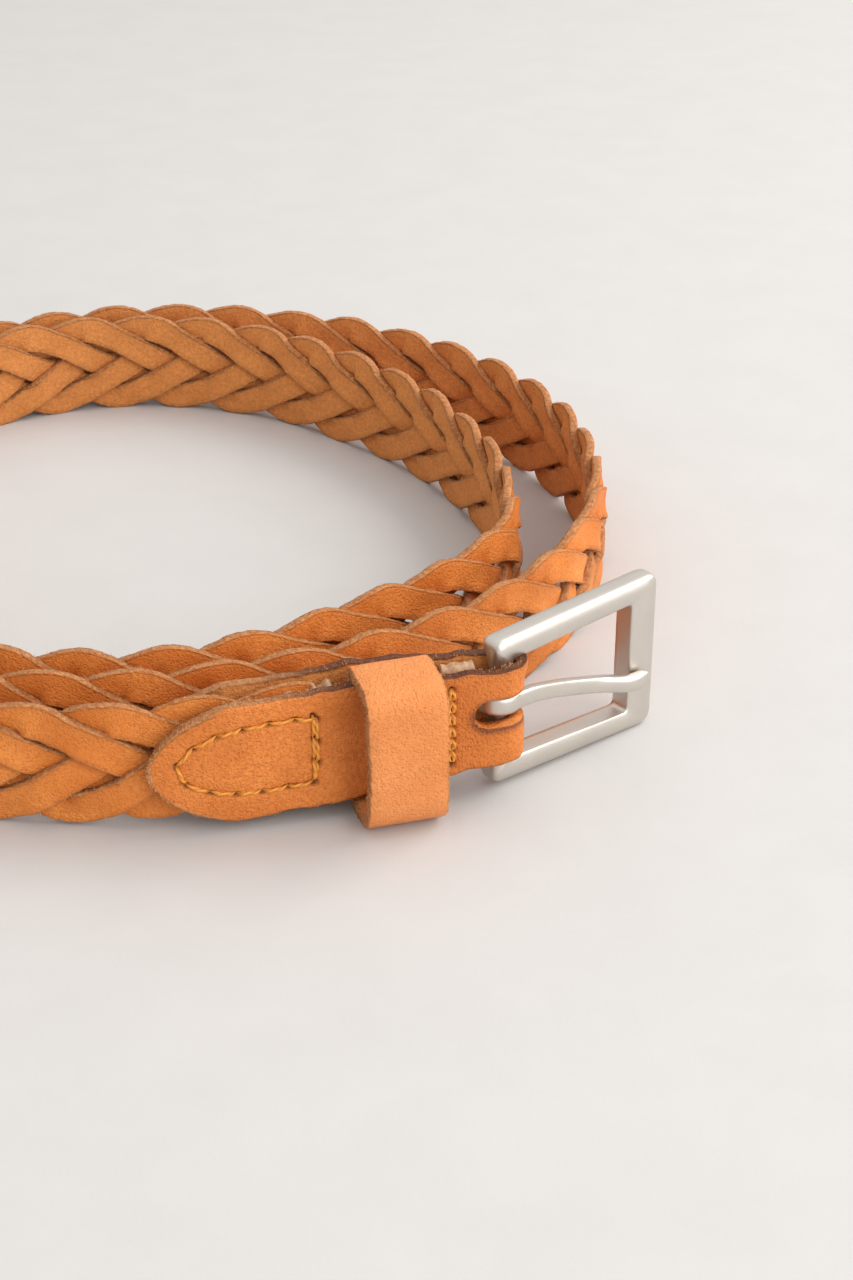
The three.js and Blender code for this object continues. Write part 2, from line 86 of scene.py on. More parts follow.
def rough_noise(count: int, seed: int) -> np.ndarray:
    """Gives a fresh random value between -1 and 1 for each of count places."""
    return np.random.default_rng(seed).uniform(-1.0, 1.0, count)


def curve_between(
    values: tuple[np.ndarray, np.ndarray],
    slopes: tuple[np.ndarray, np.ndarray],
    span: np.ndarray,
    t: np.ndarray,
) -> np.ndarray:
    """Reads the cubic curve that joins two values with the slopes that they have.

    Args:
        values: The values at the start and the end.
        slopes: The slopes there.
        span: The length from start to end.
        t: Where to read, from 0 at the start to 1 at the end.

    Returns:
        The curve's values.
    """
    return (
        (2 * t**3 - 3 * t**2 + 1) * values[0]
        + (t**3 - 2 * t**2 + t) * span * slopes[0]
        + (3 * t**2 - 2 * t**3) * values[1]
        + (t**3 - t**2) * span * slopes[1]
    )


def rounded_corner(before: np.ndarray, corner: np.ndarray, after: np.ndarray, count: int) -> list[np.ndarray]:
    """Rounds a corner.

    Args:
        before: Where the rounding starts.
        corner: The sharp corner.
        after: Where the rounding ends.
        count: How many points to give.

    Returns:
        Points through the rounding.
    """
    points = []
    for t in np.linspace(0.0, 1.0, count):
        points.append((1 - t) ** 2 * before + 2 * t * (1 - t) * corner + t**2 * after)
    return points


def along_path(path: np.ndarray) -> np.ndarray:
    """Gives each point's distance along a path from its start."""
    return np.concatenate([[0.0], np.cumsum(np.linalg.norm(np.diff(path, axis=0), axis=1))])


# ---- Where things are ----


def joint_place(frame: dict, name: str) -> tuple[float, float]:
    """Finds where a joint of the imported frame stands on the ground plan.

    Args:
        frame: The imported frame.
        name: The joint's name.

    Returns:
        Its place in millimetres.
    """
    joint = next(row for row in frame["record"]["behaviour"]["joints"] if row["name"] == name)
    return joint["pos_m"][0] / MM, joint["pos_m"][1] / MM


@dataclass
class Coil:
    """The line that the strap follows, whose stations are (bearing, distance from the coil's centre)."""

    bar: tuple[float, float]
    stations: tuple[tuple[float, float], ...] = (
        (-50, 88.0), (-62, 80.6), (-90, 78.6), (-130, 80.2), (-180, 81.0), (-220, 82.6), (-255, 83.6),
        (-285, 81.4), (-330, 78.4), (-360, 75.6), (-395, 70.6), (-425, 66.9), (-450, 67.8), (-500, 72.4),
        (-550, 76.0), (-600, 78.6), (-618, 78.2), (-640, 71.8), (-660, 64.4), (-690, 59.4), (-715, 59.8),
        (-735, 61.2), (-755, 58.4), (-775, 57.0), (-800, 60.8), (-830, 63.2), (-865, 65.6), (-902, 67.4),
    )
    strap_middle: float = 10.0
    buckle_rise: float = 3.75
    rise_length: float = 85.0
    rise_power: float = 1.4
    centre: np.ndarray = field(default_factory=lambda: np.zeros(2))
    points: np.ndarray = field(init=False)
    lengths: np.ndarray = field(init=False)

    def __post_init__(self) -> None:
        """Works out the line's points and moves the bar's end onto the buckle's hinge."""
        self.measure()
        self.centre = np.array(self.bar) - self.points[0]
        self.measure()

    def measure(self) -> None:
        """Lays out the line a quarter of a degree at a time."""
        bearings = np.arange(self.stations[0][0], self.stations[-1][0] - 0.1, -0.25)
        radii = np.array([self.radius(bearing) for bearing in bearings])
        angles = np.radians(bearings)
        self.points = np.stack([radii * np.cos(angles), radii * np.sin(angles)], 1) + self.centre
        steps = np.hypot(*np.diff(self.points, axis=0).T)
        self.lengths = np.concatenate([[0.0], np.cumsum(steps)])

    def radius(self, bearing: float) -> float:
        """Gives the line's distance from the coil's centre.

        Args:
            bearing: The direction from the coil's centre, in degrees.

        Returns:
            The distance in millimetres.
        """
        stations = self.stations
        i = 0
        while i < len(stations) - 2 and bearing < stations[i + 1][0]:
            i += 1

        def slope(k: int) -> float:
            """Gives the line's slope at a station, from its neighbours.

            Args:
                k: The station's number.

            Returns:
                The slope in millimetres a degree.
            """
            before = stations[max(k - 1, 0)]
            after = stations[min(k + 1, len(stations) - 1)]
            return (after[1] - before[1]) / (after[0] - before[0])

        start, end = stations[i], stations[i + 1]
        span = end[0] - start[0]
        return curve_between((start[1], end[1]), (slope(i), slope(i + 1)), span, (bearing - start[0]) / span)

    @property
    def length(self) -> float:
        """The strap's length from the bar to the tip."""
        return float(self.lengths[-1])

    def line(self, distance: np.ndarray) -> np.ndarray:
        """Gives points of the line, which goes on straight before the bar and past the tip.

        Args:
            distance: Along the coil from the bar.

        Returns:
            Points of the ground plan, with a last axis of two.
        """
        distance = np.asarray(distance, float)
        inside = np.clip(distance, 0.0, self.length)
        x = np.interp(inside, self.lengths, self.points[:, 0])
        y = np.interp(inside, self.lengths, self.points[:, 1])
        start = (self.points[4] - self.points[0]) / self.lengths[4]
        end = (self.points[-1] - self.points[-5]) / (self.lengths[-1] - self.lengths[-5])
        before = np.minimum(distance, 0.0)
        past = np.maximum(distance - self.length, 0.0)
        x = x + before * start[0] + past * end[0]
        y = y + before * start[1] + past * end[1]
        return np.stack([x, y], -1)

    def direction(self, distance: np.ndarray) -> np.ndarray:
        """Gives the direction of the line, away from the buckle.

        Args:
            distance: Along the coil from the bar.

        Returns:
            Unit vectors of the ground plan.
        """
        distance = np.asarray(distance, float)
        step = self.line(distance + 1.5) - self.line(distance - 1.5)
        return step / np.linalg.norm(step, axis=-1, keepdims=True)

    def rise(self, distance: np.ndarray) -> np.ndarray:
        """Gives how far the strap has risen towards the buckle."""
        share = np.clip(1.0 - np.asarray(distance, float) / self.rise_length, 0.0, 1.0)
        return self.buckle_rise * share**self.rise_power

    def place(self, distance: np.ndarray, outward: np.ndarray, height: np.ndarray) -> np.ndarray:
        """Turns places on the strap into points.

        Args:
            distance: Along the coil from the bar.
            outward: From the strap's middle layer.
            height: Above the ground, before the rise.

        Returns:
            Points in millimetres, with a last axis of three.
        """
        distance, outward, height = np.broadcast_arrays(distance, outward, height)
        line = self.line(distance)
        along = self.direction(distance)
        x = line[..., 0] - along[..., 1] * outward
        y = line[..., 1] + along[..., 0] * outward
        return np.stack([x, y, height + self.rise(distance)], -1)


# ---- Meshes ----


@dataclass
class Shell:
    """A closed mesh in the making, from rings of points, with values that its material reads."""

    name: str
    rings: np.ndarray
    closed: bool = False
    marks: dict[str, np.ndarray] = field(default_factory=dict)

    def build(self) -> bpy.types.Object:
        """Makes the object, with its rings joined by quads and its ends capped.

        Returns:
            The object, linked to the scene.
        """
        count, around = self.rings.shape[:2]
        vertices = self.rings.reshape(-1, 3) * MM
        i = np.arange(count if self.closed else count - 1)
        j = np.arange(around)
        ii, jj = np.meshgrid(i, j, indexing="ij")
        after = (ii + 1) % count
        beside = (jj + 1) % around
        corners = [ii * around + jj, ii * around + beside, after * around + beside, after * around + jj]
        quads = np.stack(corners, -1).reshape(-1, 4)
        faces = quads.tolist()
        if not self.closed:
            faces.append(list(range(around))[::-1])
            faces.append([(count - 1) * around + k for k in range(around)])
        mesh = bpy.data.meshes.new(self.name)
        mesh.from_pydata(vertices.tolist(), [], faces)
        for key, values in self.marks.items():
            attribute = mesh.attributes.new(key, "FLOAT", "POINT")
            everywhere = np.broadcast_to(values, (count, around)).astype(np.float32)
            attribute.data.foreach_set("value", everywhere.ravel())
        shown = show(self.name, mesh)
        face_out(shown)
        mesh.shade_smooth()
        return shown


def show(name: str, data: bpy.types.ID) -> bpy.types.Object:
    """Puts an object into the scene.

    Args:
        name: The object's name.
        data: Its mesh, lamp or camera.

    Returns:
        The object.
    """
    shown = bpy.data.objects.new(name, data)
    bpy.context.scene.collection.objects.link(shown)
    return shown


def face_out(shown: bpy.types.Object) -> None:
    """Turns an object's faces to the outside.

    Args:
        shown: The object.
    """
    work = bmesh.new()
    work.from_mesh(shown.data)
    bmesh.ops.recalc_face_normals(work, faces=work.faces)
    work.to_mesh(shown.data)
    work.free()


def cut_away(shown: bpy.types.Object, cutter: bpy.types.Object) -> None:
    """Cuts one object out of another.

    Args:
        shown: The object that is cut.
        cutter: The object that cuts it, which is removed.
    """
    modifier = shown.modifiers.new("cut", "BOOLEAN")
    modifier.operation = "DIFFERENCE"
    modifier.solver = "EXACT"
    modifier.object = cutter
    bpy.context.view_layer.update()
    graph = bpy.context.evaluated_depsgraph_get()
    result = bpy.data.meshes.new_from_object(shown.evaluated_get(graph))
    shown.modifiers.clear()
    shown.data = result
    bpy.data.objects.remove(cutter, do_unlink=True)


def join(name: str, parts: list[bpy.types.Object]) -> bpy.types.Object:
    """Joins objects into one, which keeps the first one's materials.

    Args:
        name: The new object's name.
        parts: The objects, which are used up.

    Returns:
        The joined object.
    """
    with bpy.context.temp_override(active_object=parts[0], selected_editable_objects=parts):
        bpy.ops.object.join()
    parts[0].name = name
    return parts[0]


def strip_profile(width: float, thickness: float) -> tuple[np.ndarray, np.ndarray, np.ndarray]:
    """Gives the section of a leather strip, with softened corners.

    Args:
        width: The strip's full width.
        thickness: The leather's thickness.

    Returns:
        Points of (across, through), and for each point 1 on a cut edge and 1 on the flesh side.
    """
    a = width / 2
    h = thickness / 2
    soft = 0.28
    top = [(-a + soft, h), (-a * 0.62, h), (-a * 0.22, h), (a * 0.22, h), (a * 0.62, h), (a - soft, h)]
    right = [(a - 0.07, h - 0.1), (a, h * 0.45), (a, -h * 0.35), (a - 0.08, -h + 0.12)]
    low = [(a - soft, -h), (a * 0.5, -h), (0.0, -h), (-a * 0.5, -h), (-a + soft, -h)]
    left = [(-a + 0.08, -h + 0.12), (-a, -h * 0.35), (-a, h * 0.45), (-a + 0.07, h - 0.1)]
    points = np.array(top + right + low + left)
    cut = np.array([0.0] * 6 + [0.55, 1.0, 1.0, 1.0] + [0.0] * 5 + [1.0, 1.0, 1.0, 0.55])
    flesh = np.array([0.0] * 6 + [0.0, 0.0, 0.5, 1.0] + [1.0] * 5 + [1.0, 0.5, 0.0, 0.0])
    return points, cut, flesh


@dataclass(frozen=True)
class Growth:
    """Loose fibres: how many, how long the longest is in millimetres, and what picks their places."""

    count: int
    reach: float
    seed: int


def fuzz(name: str, shell: Shell, growth: Growth) -> bpy.types.Object:
    """Grows short loose fibres out of the cut edges of a shell.

    Args:
        name: The piece's name.
        shell: The shell, whose cut mark says where its edges are.
        growth: How they grow.

    Returns:
        The fibres as one piece.
    """
    count = growth.count
    chance = np.random.default_rng(growth.seed)
    edge = np.broadcast_to(shell.marks["cut"], shell.rings.shape[:2]) > 0.8
    places = np.argwhere(edge)
    chosen = places[chance.integers(0, len(places), count)]
    roots = shell.rings[chosen[:, 0], chosen[:, 1]]
    away = roots - shell.rings[chosen[:, 0]].mean(1)
    away = away / np.linalg.norm(away, axis=1, keepdims=True)
    nearest = shell.rings[chosen[:, 0], (chosen[:, 1] + 1) % shell.rings.shape[1]]
    roots = roots + (nearest - roots) * chance.uniform(0.0, 1.0, (count, 1))
    length = growth.reach * chance.uniform(0.25, 1.0, (count, 1)) ** 1.6
    first = away + chance.normal(0.0, 0.6, (count, 3))
    second = first + chance.normal(0.0, 0.9, (count, 3))
    vertices = []
    faces = []
    sides = np.array([[1.0, 0.0, 0.0], [-0.5, 0.6, 0.6], [-0.5, -0.6, -0.6]])
    sunk = 0.06
    root_radius, bend_radius = 0.045, 0.035
    for k in range(count):
        root = roots[k] - sunk * away[k]
        bend = roots[k] + length[k] * 0.5 * first[k] / np.linalg.norm(first[k])
        end = bend + length[k] * 0.5 * second[k] / np.linalg.norm(second[k])
        base = len(vertices)
        for point, radius in ((root, root_radius), (bend, bend_radius)):
            vertices += [tuple((point + side * radius) * MM) for side in sides]
        vertices.append(tuple(end * MM))
        for i in range(3):
            j = (i + 1) % 3
            faces.append((base + i, base + j, base + 3 + j, base + 3 + i))
            faces.append((base + 3 + i, base + 3 + j, base + 6))
        faces.append((base + 2, base + 1, base))
    vertices = [(x, y, max(z, GROUND_GAP * MM)) for x, y, z in vertices]
    mesh = bpy.data.meshes.new(name)
    mesh.from_pydata(vertices, [], faces)
    shown = show(name, mesh)
    face_out(shown)
    return shown


# ---- Finishes ----


class Nodes:
    """Small helper that adds shader nodes and links them."""

    def __init__(self, name: str) -> None:
        """Starts a material with a plain surface shader.

        Args:
            name: The material's name.
        """
        self.material = bpy.data.materials.new(name)
        self.material.use_nodes = True
        self.tree = self.material.node_tree
        self.shader = self.tree.nodes["Principled BSDF"]

    def add(self, kind: str, **settings: object) -> bpy.types.Node:
        """Adds a node.

        Args:
            kind: The node's type name.
            settings: Properties, or input values whose names start with in_.

        Returns:
            The node.
        """
        node = self.tree.nodes.new(kind)
        for key, value in settings.items():
            if key.startswith("in_"):
                node.inputs[key[3:].replace("_", " ")].default_value = value
            else:
                setattr(node, key, value)
        return node

    def link(self, source: bpy.types.NodeSocket, target: bpy.types.NodeSocket) -> None:
        """Joins two sockets."""
        self.tree.links.new(source, target)

    def place_vector(self) -> bpy.types.NodeSocket:
        """Gives the socket of the object's own coordinates."""
        return self.add("ShaderNodeTexCoord").outputs["Object"]

    def noise(self, scale: float, detail: float = 3.0, rough: float = 0.55) -> bpy.types.NodeSocket:
        """Adds noise in the object's own coordinates.

        Args:
            scale: How fine the noise is.
            detail: How many finer layers it has.
            rough: How strong the finer layers are.

        Returns:
            The noise's value.
        """
        node = self.add("ShaderNodeTexNoise", in_Scale=scale, in_Detail=detail, in_Roughness=rough)
        self.link(self.place_vector(), node.inputs["Vector"])
        return node.outputs["Fac"]

    def cells(self, scale: float) -> bpy.types.NodeSocket:
        """Adds a cell pattern in the object's own coordinates.

        Args:
            scale: How fine the cells are.

        Returns:
            The distance to the nearest cell's middle.
        """
        node = self.add("ShaderNodeTexVoronoi", in_Scale=scale)
        self.link(self.place_vector(), node.inputs["Vector"])
        return node.outputs["Distance"]

    def ramp(
        self, source: bpy.types.NodeSocket, low: float, high: float, to: tuple[float, float] = (0.0, 1.0)
    ) -> bpy.types.NodeSocket:
        """Maps a value from one range to another, clamped.

        Args:
            source: The value.
            low: The value that becomes the first of to.
            high: The value that becomes the second.
            to: The range that it is mapped to.

        Returns:
            The mapped value.
        """
        node = self.add("ShaderNodeMapRange", clamp=True)
        node.inputs["From Min"].default_value = low
        node.inputs["From Max"].default_value = high
        node.inputs["To Min"].default_value = to[0]
        node.inputs["To Max"].default_value = to[1]
        self.link(source, node.inputs["Value"])
        return node.outputs["Result"]

    def blend(
        self,
        share: bpy.types.NodeSocket,
        first: Colour | bpy.types.NodeSocket,
        second: Colour | bpy.types.NodeSocket,
    ) -> bpy.types.NodeSocket:
        """Mixes two colours by a share.

        Args:
            share: The second colour's share.
            first: The first colour, a value or a socket.
            second: The second colour.

        Returns:
            The mixed colour.
        """
        node = self.add("ShaderNodeMix", data_type="RGBA")
        self.link(share, node.inputs[0])
        for value, socket in ((first, node.inputs[6]), (second, node.inputs[7])):
            if isinstance(value, tuple):
                socket.default_value = (*value, 1.0)
            else:
                self.link(value, socket)
        return node.outputs[2]

    def sum(
        self, first: bpy.types.NodeSocket, second: bpy.types.NodeSocket, way: str = "ADD"
    ) -> bpy.types.NodeSocket:
        """Combines two values by one arithmetic step.

        Args:
            first: The first value.
            second: The second value.
            way: The arithmetic step's name.

        Returns:
            The result.
        """
        node = self.add("ShaderNodeMath", operation=way)
        self.link(first, node.inputs[0])
        self.link(second, node.inputs[1])
        return node.outputs[0]

    def times(self, source: bpy.types.NodeSocket, factor: float) -> bpy.types.NodeSocket:
        """Multiplies a value by a number.

        Args:
            source: The value.
            factor: The number.

        Returns:
            The product.
        """
        node = self.add("ShaderNodeMath", operation="MULTIPLY")
        self.link(source, node.inputs[0])
        node.inputs[1].default_value = factor
        return node.outputs[0]

    def mark(self, name: str) -> bpy.types.NodeSocket:
        """Gives a value that the mesh carries."""
        return self.add("ShaderNodeAttribute", attribute_name=name).outputs["Fac"]

    def bump(self, height: bpy.types.NodeSocket, depth: float) -> None:
        """Makes a height into the surface's fine relief.

        Args:
            height: The height.
            depth: How deep a height of 1 is, in metres.
        """
        node = self.add("ShaderNodeBump", in_Distance=depth, in_Strength=1.0)
        self.link(height, node.inputs["Height"])
        self.link(node.outputs["Normal"], self.shader.inputs["Normal"])


@dataclass(frozen=True)
class LeatherFinish:
    """Vegetable-tanned leather: a smooth grain side, a suede-like flesh side and raw or darkened edges."""

    name: str
    grain: Colour
    grain_deep: Colour
    flesh: Colour = (0.80, 0.305, 0.084)
    raw: Colour = (0.78, 0.37, 0.15)
    raw_deep: Colour = (0.46, 0.145, 0.038)
    burnish_and_shade: Colour = (0.105, 0.035, 0.022)
    hole: Colour = (0.055, 0.022, 0.012)
    roughness: tuple[float, float] = (0.46, 0.62)
    relief: float = 0.00028

    def material(self) -> bpy.types.Material:
        """Builds the material."""
        n = Nodes(self.name)
        cloud = n.ramp(n.noise(70.0, 4.0, 0.6), 0.32, 0.68)
        colour = n.blend(cloud, self.grain_deep, self.grain)
        speck = n.ramp(n.noise(1700.0, 5.0, 0.8), 0.42, 0.62, (0.0, 0.9))
        colour = n.blend(speck, colour, self.grain_deep)
        fibre = n.ramp(n.noise(1500.0, 4.0, 0.75), 0.35, 0.65)
        suede = n.blend(fibre, tuple(c * 0.72 for c in self.flesh), self.flesh)
        colour = n.blend(n.mark("flesh"), colour, suede)
        raw = n.blend(fibre, self.raw_deep, self.raw)
        raw = n.blend(n.mark("burnish"), raw, n.blend(n.times(fibre, 0.55), self.burnish_and_shade, self.raw_deep))
        edge = n.sum(n.mark("cut"), n.times(n.noise(900.0, 3.0, 0.7), 0.35))
        colour = n.blend(n.ramp(edge, 0.5, 0.85), colour, raw)
        # Painted shade: the shade mark darkens the grain towards the burnish colour, round the slot's crease
        # and along edges.
        colour = n.blend(n.mark("shade"), colour, self.burnish_and_shade)
        # Painted shade: the stitch holes are painted nearly black.
        colour = n.blend(n.mark("pit"), colour, self.hole)
        n.link(colour, n.shader.inputs["Base Color"])
        gloss = n.ramp(n.noise(300.0, 3.0, 0.6), 0.3, 0.7, self.roughness)
        gloss = n.sum(gloss, n.times(n.mark("cut"), 0.35), "MAXIMUM")
        n.link(n.sum(gloss, n.times(n.mark("flesh"), 0.85), "MAXIMUM"), n.shader.inputs["Roughness"])
        n.shader.inputs["Specular IOR Level"].default_value = 0.24
        pores = n.ramp(n.cells(2400.0), 0.0, 0.55)
        grain = n.sum(n.times(pores, 0.45), n.times(n.noise(1500.0, 5.0, 0.65), 0.75))
        open_fibre = n.sum(n.mark("cut"), n.times(n.mark("flesh"), 0.5))
        shaggy = n.sum(n.times(n.noise(1100.0, 6.0, 0.8), 2.6), open_fibre, "MULTIPLY")
        n.bump(n.sum(grain, shaggy), self.relief)
        return n.material


@dataclass(frozen=True)
class MetalFinish:
    """Satin nickel plating with a fine, tumbled surface."""

    name: str = "satin_nickel"
    bright: Colour = (0.68, 0.635, 0.58)
    dull: Colour = (0.64, 0.595, 0.54)
    roughness: tuple[float, float] = (0.37, 0.41)

    def material(self) -> bpy.types.Material:
        """Builds the material."""
        n = Nodes(self.name)
        cloud = n.ramp(n.noise(160.0, 5.0, 0.6), 0.35, 0.7)
        n.link(n.blend(cloud, self.dull, self.bright), n.shader.inputs["Base Color"])
        n.shader.inputs["Metallic"].default_value = 1.0
        n.link(n.ramp(n.noise(700.0, 4.0, 0.65), 0.3, 0.7, self.roughness), n.shader.inputs["Roughness"])
        n.bump(n.noise(5200.0, 2.0, 0.6), 0.000004)
        return n.material


@dataclass(frozen=True)
class ThreadFinish:
    """Twisted, waxed sewing thread."""

    name: str = "waxed_thread"
    light: Colour = (0.84, 0.34, 0.045)
    deep: Colour = (0.50, 0.165, 0.016)

    def material(self) -> bpy.types.Material:
        """Builds the material."""
        n = Nodes(self.name)
        fibre = n.ramp(n.noise(2200.0, 3.0, 0.7), 0.3, 0.7)
        # Painted shade: the grooves between the plies are painted darker than the crests.
        ply = n.ramp(n.mark("ply"), 0.1, 0.8)
        colour = n.blend(n.sum(n.times(fibre, 0.45), n.times(ply, 0.6)), self.deep, self.light)
        n.link(colour, n.shader.inputs["Base Color"])
        n.link(n.ramp(fibre, 0.0, 1.0, (0.42, 0.6)), n.shader.inputs["Roughness"])
        n.bump(fibre, 0.00005)
        return n.material


@dataclass(frozen=True)
class PackingFinish:
    """Torn leather fibres stiffened with whitish glue."""

    name: str = "torn_packing"
    leather: Colour = (0.50, 0.25, 0.115)
    glue: Colour = (0.66, 0.44, 0.28)

    def material(self) -> bpy.types.Material:
        """Builds the material."""
        n = Nodes(self.name)
        patch = n.ramp(n.noise(420.0, 5.0, 0.7), 0.42, 0.60)
        n.link(n.blend(patch, self.leather, self.glue), n.shader.inputs["Base Color"])
        n.link(n.ramp(patch, 0.0, 1.0, (0.85, 0.5)), n.shader.inputs["Roughness"])
        n.bump(n.noise(900.0, 6.0, 0.8), 0.0004)
        return n.material


class Finish(Enum):
    """The finishes that the belt's pieces take."""

    STRAP = LeatherFinish("strap_leather", (0.86, 0.312, 0.072), (0.63, 0.178, 0.030))
    TAB = LeatherFinish("tab_leather", (0.80, 0.262, 0.060), (0.58, 0.160, 0.028), relief=0.00034)
    KEEPER = LeatherFinish(
        "keeper_leather", (0.86, 0.335, 0.115), (0.70, 0.235, 0.066), roughness=(0.48, 0.6), relief=0.0003)
    METAL = MetalFinish()
    THREAD = ThreadFinish()
    PACKING = PackingFinish()
    FIBRE = ThreadFinish("leather_fibre", (0.88, 0.55, 0.30), (0.62, 0.28, 0.10))


class Finisher:
    """Builds each finish once and puts it on pieces."""

    def __init__(self) -> None:
        """Starts with no finish built."""
        self.built: dict[Finish, bpy.types.Material] = {}

    def dress(self, shown: bpy.types.Object, finish: Finish, slot: str, body: str, *nodes: str) -> None:
        """Puts a finish on a piece, rides it on its body and reports it.

        Args:
            shown: The piece.
            finish: The finish.
            slot: The record's material slot that the finish belongs to; not used.
            body: The body that the piece rides on.
            nodes: The CAD nodes that the piece stands for.
        """
        if finish not in self.built:
            self.built[finish] = finish.value.material()
        shown.data.materials.clear()
        shown.data.materials.append(self.built[finish])
        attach(shown, body)
        if nodes:
            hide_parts(*nodes)
        LOG.info("%s rides on %s: %d faces", shown.name, body, len(shown.data.polygons))

    def grow_fibres(self, name: str, shell: Shell, growth: Growth, body: str) -> None:
        """Grows the loose fibres of a shell and dresses them."""
        self.dress(fuzz(name, shell, growth), Finish.FIBRE, "cut_leather", body)


# ---- Braid ----


@dataclass
class Braid:
    """Five flat thongs plaited over two and under two."""

    coil: Coil
    count: int = 5
    period: float = 62.7
    shift: float = 7.0
    start: float = 28.5
    end_margin: float = 12.0
    width: float = 5.2
    thickness: float = 1.55
    half_height: float = 10.0
    sharpness: float = 0.90
    sections: int = 100
    lanes: int = 11
    rounds: int = 1500
    search: float = 13.0
    edge_play: float = 0.12
    pressed: float = 0.45
    pressed_ends: tuple[float, float] = (49.0, 54.0)
    pressed_run: float = 7.0
    growth: tuple[int, float] = (1100, 0.75)

    @property
    def reach(self) -> float:
        """How far a thong's middle goes from the strap's middle line."""
        return self.half_height - self.width / 2 - 0.05

    def height(self, angle: np.ndarray) -> np.ndarray:
        """Gives a thong's height over its period, a wave with nearly straight sides."""
        return self.reach * np.arcsin(self.sharpness * np.cos(angle)) / math.asin(self.sharpness)

    def lean(self, angle: np.ndarray) -> np.ndarray:
        """Gives the angle of a thong's path over the strap's middle line.

        Args:
            angle: Where in the thong's period.

        Returns:
            The path's angle in radians.
        """
        step = 1e-3
        rise = (self.height(angle + step) - self.height(angle - step)) / (2 * step)
        return np.arctan(rise * 2 * math.pi / self.period)

    def grid(self) -> tuple[np.ndarray, np.ndarray, np.ndarray]:
        """Lays out one period of a flat thong.

        Returns:
            The angles of its sections, and the distance and height of each of its points.
        """
        angle = np.arange(self.sections) * 2 * math.pi / self.sections
        across = np.linspace(-0.5, 0.5, self.lanes) * self.width
        lean = self.lean(angle)[:, None]
        along = angle[:, None] / (2 * math.pi) * self.period - np.sin(lean) * across
        up = self.height(angle)[:, None] + np.cos(lean) * across
        return angle, along, up

    def crossings(self) -> list[tuple[np.ndarray, np.ndarray, np.ndarray, int]]:
        """Finds where the other thongs lie over or under each point of one thong.

        Returns:
            For each other thong, a mask of the points that it covers, its section and lane there, and 1 if
            this thong is over it or -1 if it is under.
        """
        _, along, up = self.grid()
        found = []
        near = np.arange(-self.search, self.search, 0.1)
        for other in range(1, self.count):
            middle = along[..., None] + near
            angle = middle / self.period * 2 * math.pi - other * 2 * math.pi / self.count
            height = self.height(angle)
            gap = np.hypot(near, height - up[..., None])
            best = gap.argmin(-1)[..., None]
            gap, angle, middle, height = (
                np.take_along_axis(values, best, -1)[..., 0] for values in (gap, angle, middle, height))
            lean = self.lean(angle)
            across = (along - middle) * -np.sin(lean) + (up - height) * np.cos(lean)
            covered = gap < self.width / 2 - self.edge_play
            section = angle / (2 * math.pi) * self.sections
            lane = np.clip(across / self.width + 0.5, 0.0, 1.0) * (self.lanes - 1)
            found.append((covered, section, lane, 1 if other > self.count / 2 else -1))
        return found

    def sample(self, values: np.ndarray, section: np.ndarray, lane: np.ndarray) -> np.ndarray:
        """Reads a thong's value between its grid points.

        Args:
            values: The values at the grid points.
            section: Where to read along the thong, in sections.
            lane: Where to read across it, in lanes.

        Returns:
            The values there.
        """
        low = np.floor(section).astype(int)
        side = np.minimum(np.floor(lane).astype(int), self.lanes - 2)
        a = section - low
        b = lane - side
        first = values[low % self.sections, side] * (1 - b) + values[low % self.sections, side + 1] * b
        after = (low + 1) % self.sections
        second = values[after, side] * (1 - b) + values[after, side + 1] * b
        return first * (1 - a) + second * a

    def relax(self) -> np.ndarray:
        """Lets one thong's leather bend as stiffly as it can, clear of the thongs that it crosses.

        Returns:
            How far outward each point of the thong lies from the strap's middle layer.
        """
        angle, _, _ = self.grid()
        turn = (np.degrees(angle) + 90.0) % 180.0 - 90.0
        values = np.repeat((-turn / 90.0 * self.thickness * 0.5)[:, None], self.lanes, 1)
        crossings = self.crossings()
        ratio = (self.period / self.sections / (self.width / (self.lanes - 1))) ** 2

        def curvature(field_values: np.ndarray) -> np.ndarray:
            """Gives how sharply the leather bends at each grid point.

            Args:
                field_values: The values at the grid points.

            Returns:
                The bend at each grid point.
            """
            sides = np.pad(field_values, ((0, 0), (1, 1)), mode="edge")
            bend = np.roll(field_values, 1, 0) + np.roll(field_values, -1, 0) - 2 * field_values
            return bend + ratio * (sides[:, 2:] + sides[:, :-2] - 2 * field_values)

        for _ in range(self.rounds):
            values = values - 0.018 * curvature(curvature(values)) - 0.0015 * values
            up = np.zeros_like(values)
            down = np.zeros_like(values)
            for covered, section, lane, side in crossings:
                other = self.sample(values, section, lane)
                if side > 0:
                    up = np.maximum(up, np.where(covered, other + self.thickness - values, 0.0))
                else:
                    down = np.maximum(down, np.where(covered, values - other + self.thickness, 0.0))
            values = values + 0.5 * up - 0.5 * down
        return values

    def squeeze(self, distance: np.ndarray) -> np.ndarray:
        """Gives how flat the braid is pressed where it lies between leather leaves.

        Args:
            distance: Along the coil from the bar.

        Returns:
            The share of its full depth that the braid keeps.
        """
        near = np.clip((distance - self.pressed_ends[0]) / self.pressed_run, 0.0, 1.0)
        far = np.clip((self.coil.length - self.pressed_ends[1] - distance) / self.pressed_run, 0.0, 1.0)
        open_share = np.minimum(near, far)
        return self.pressed + (1 - self.pressed) * open_share**2 * (3 - 2 * open_share)

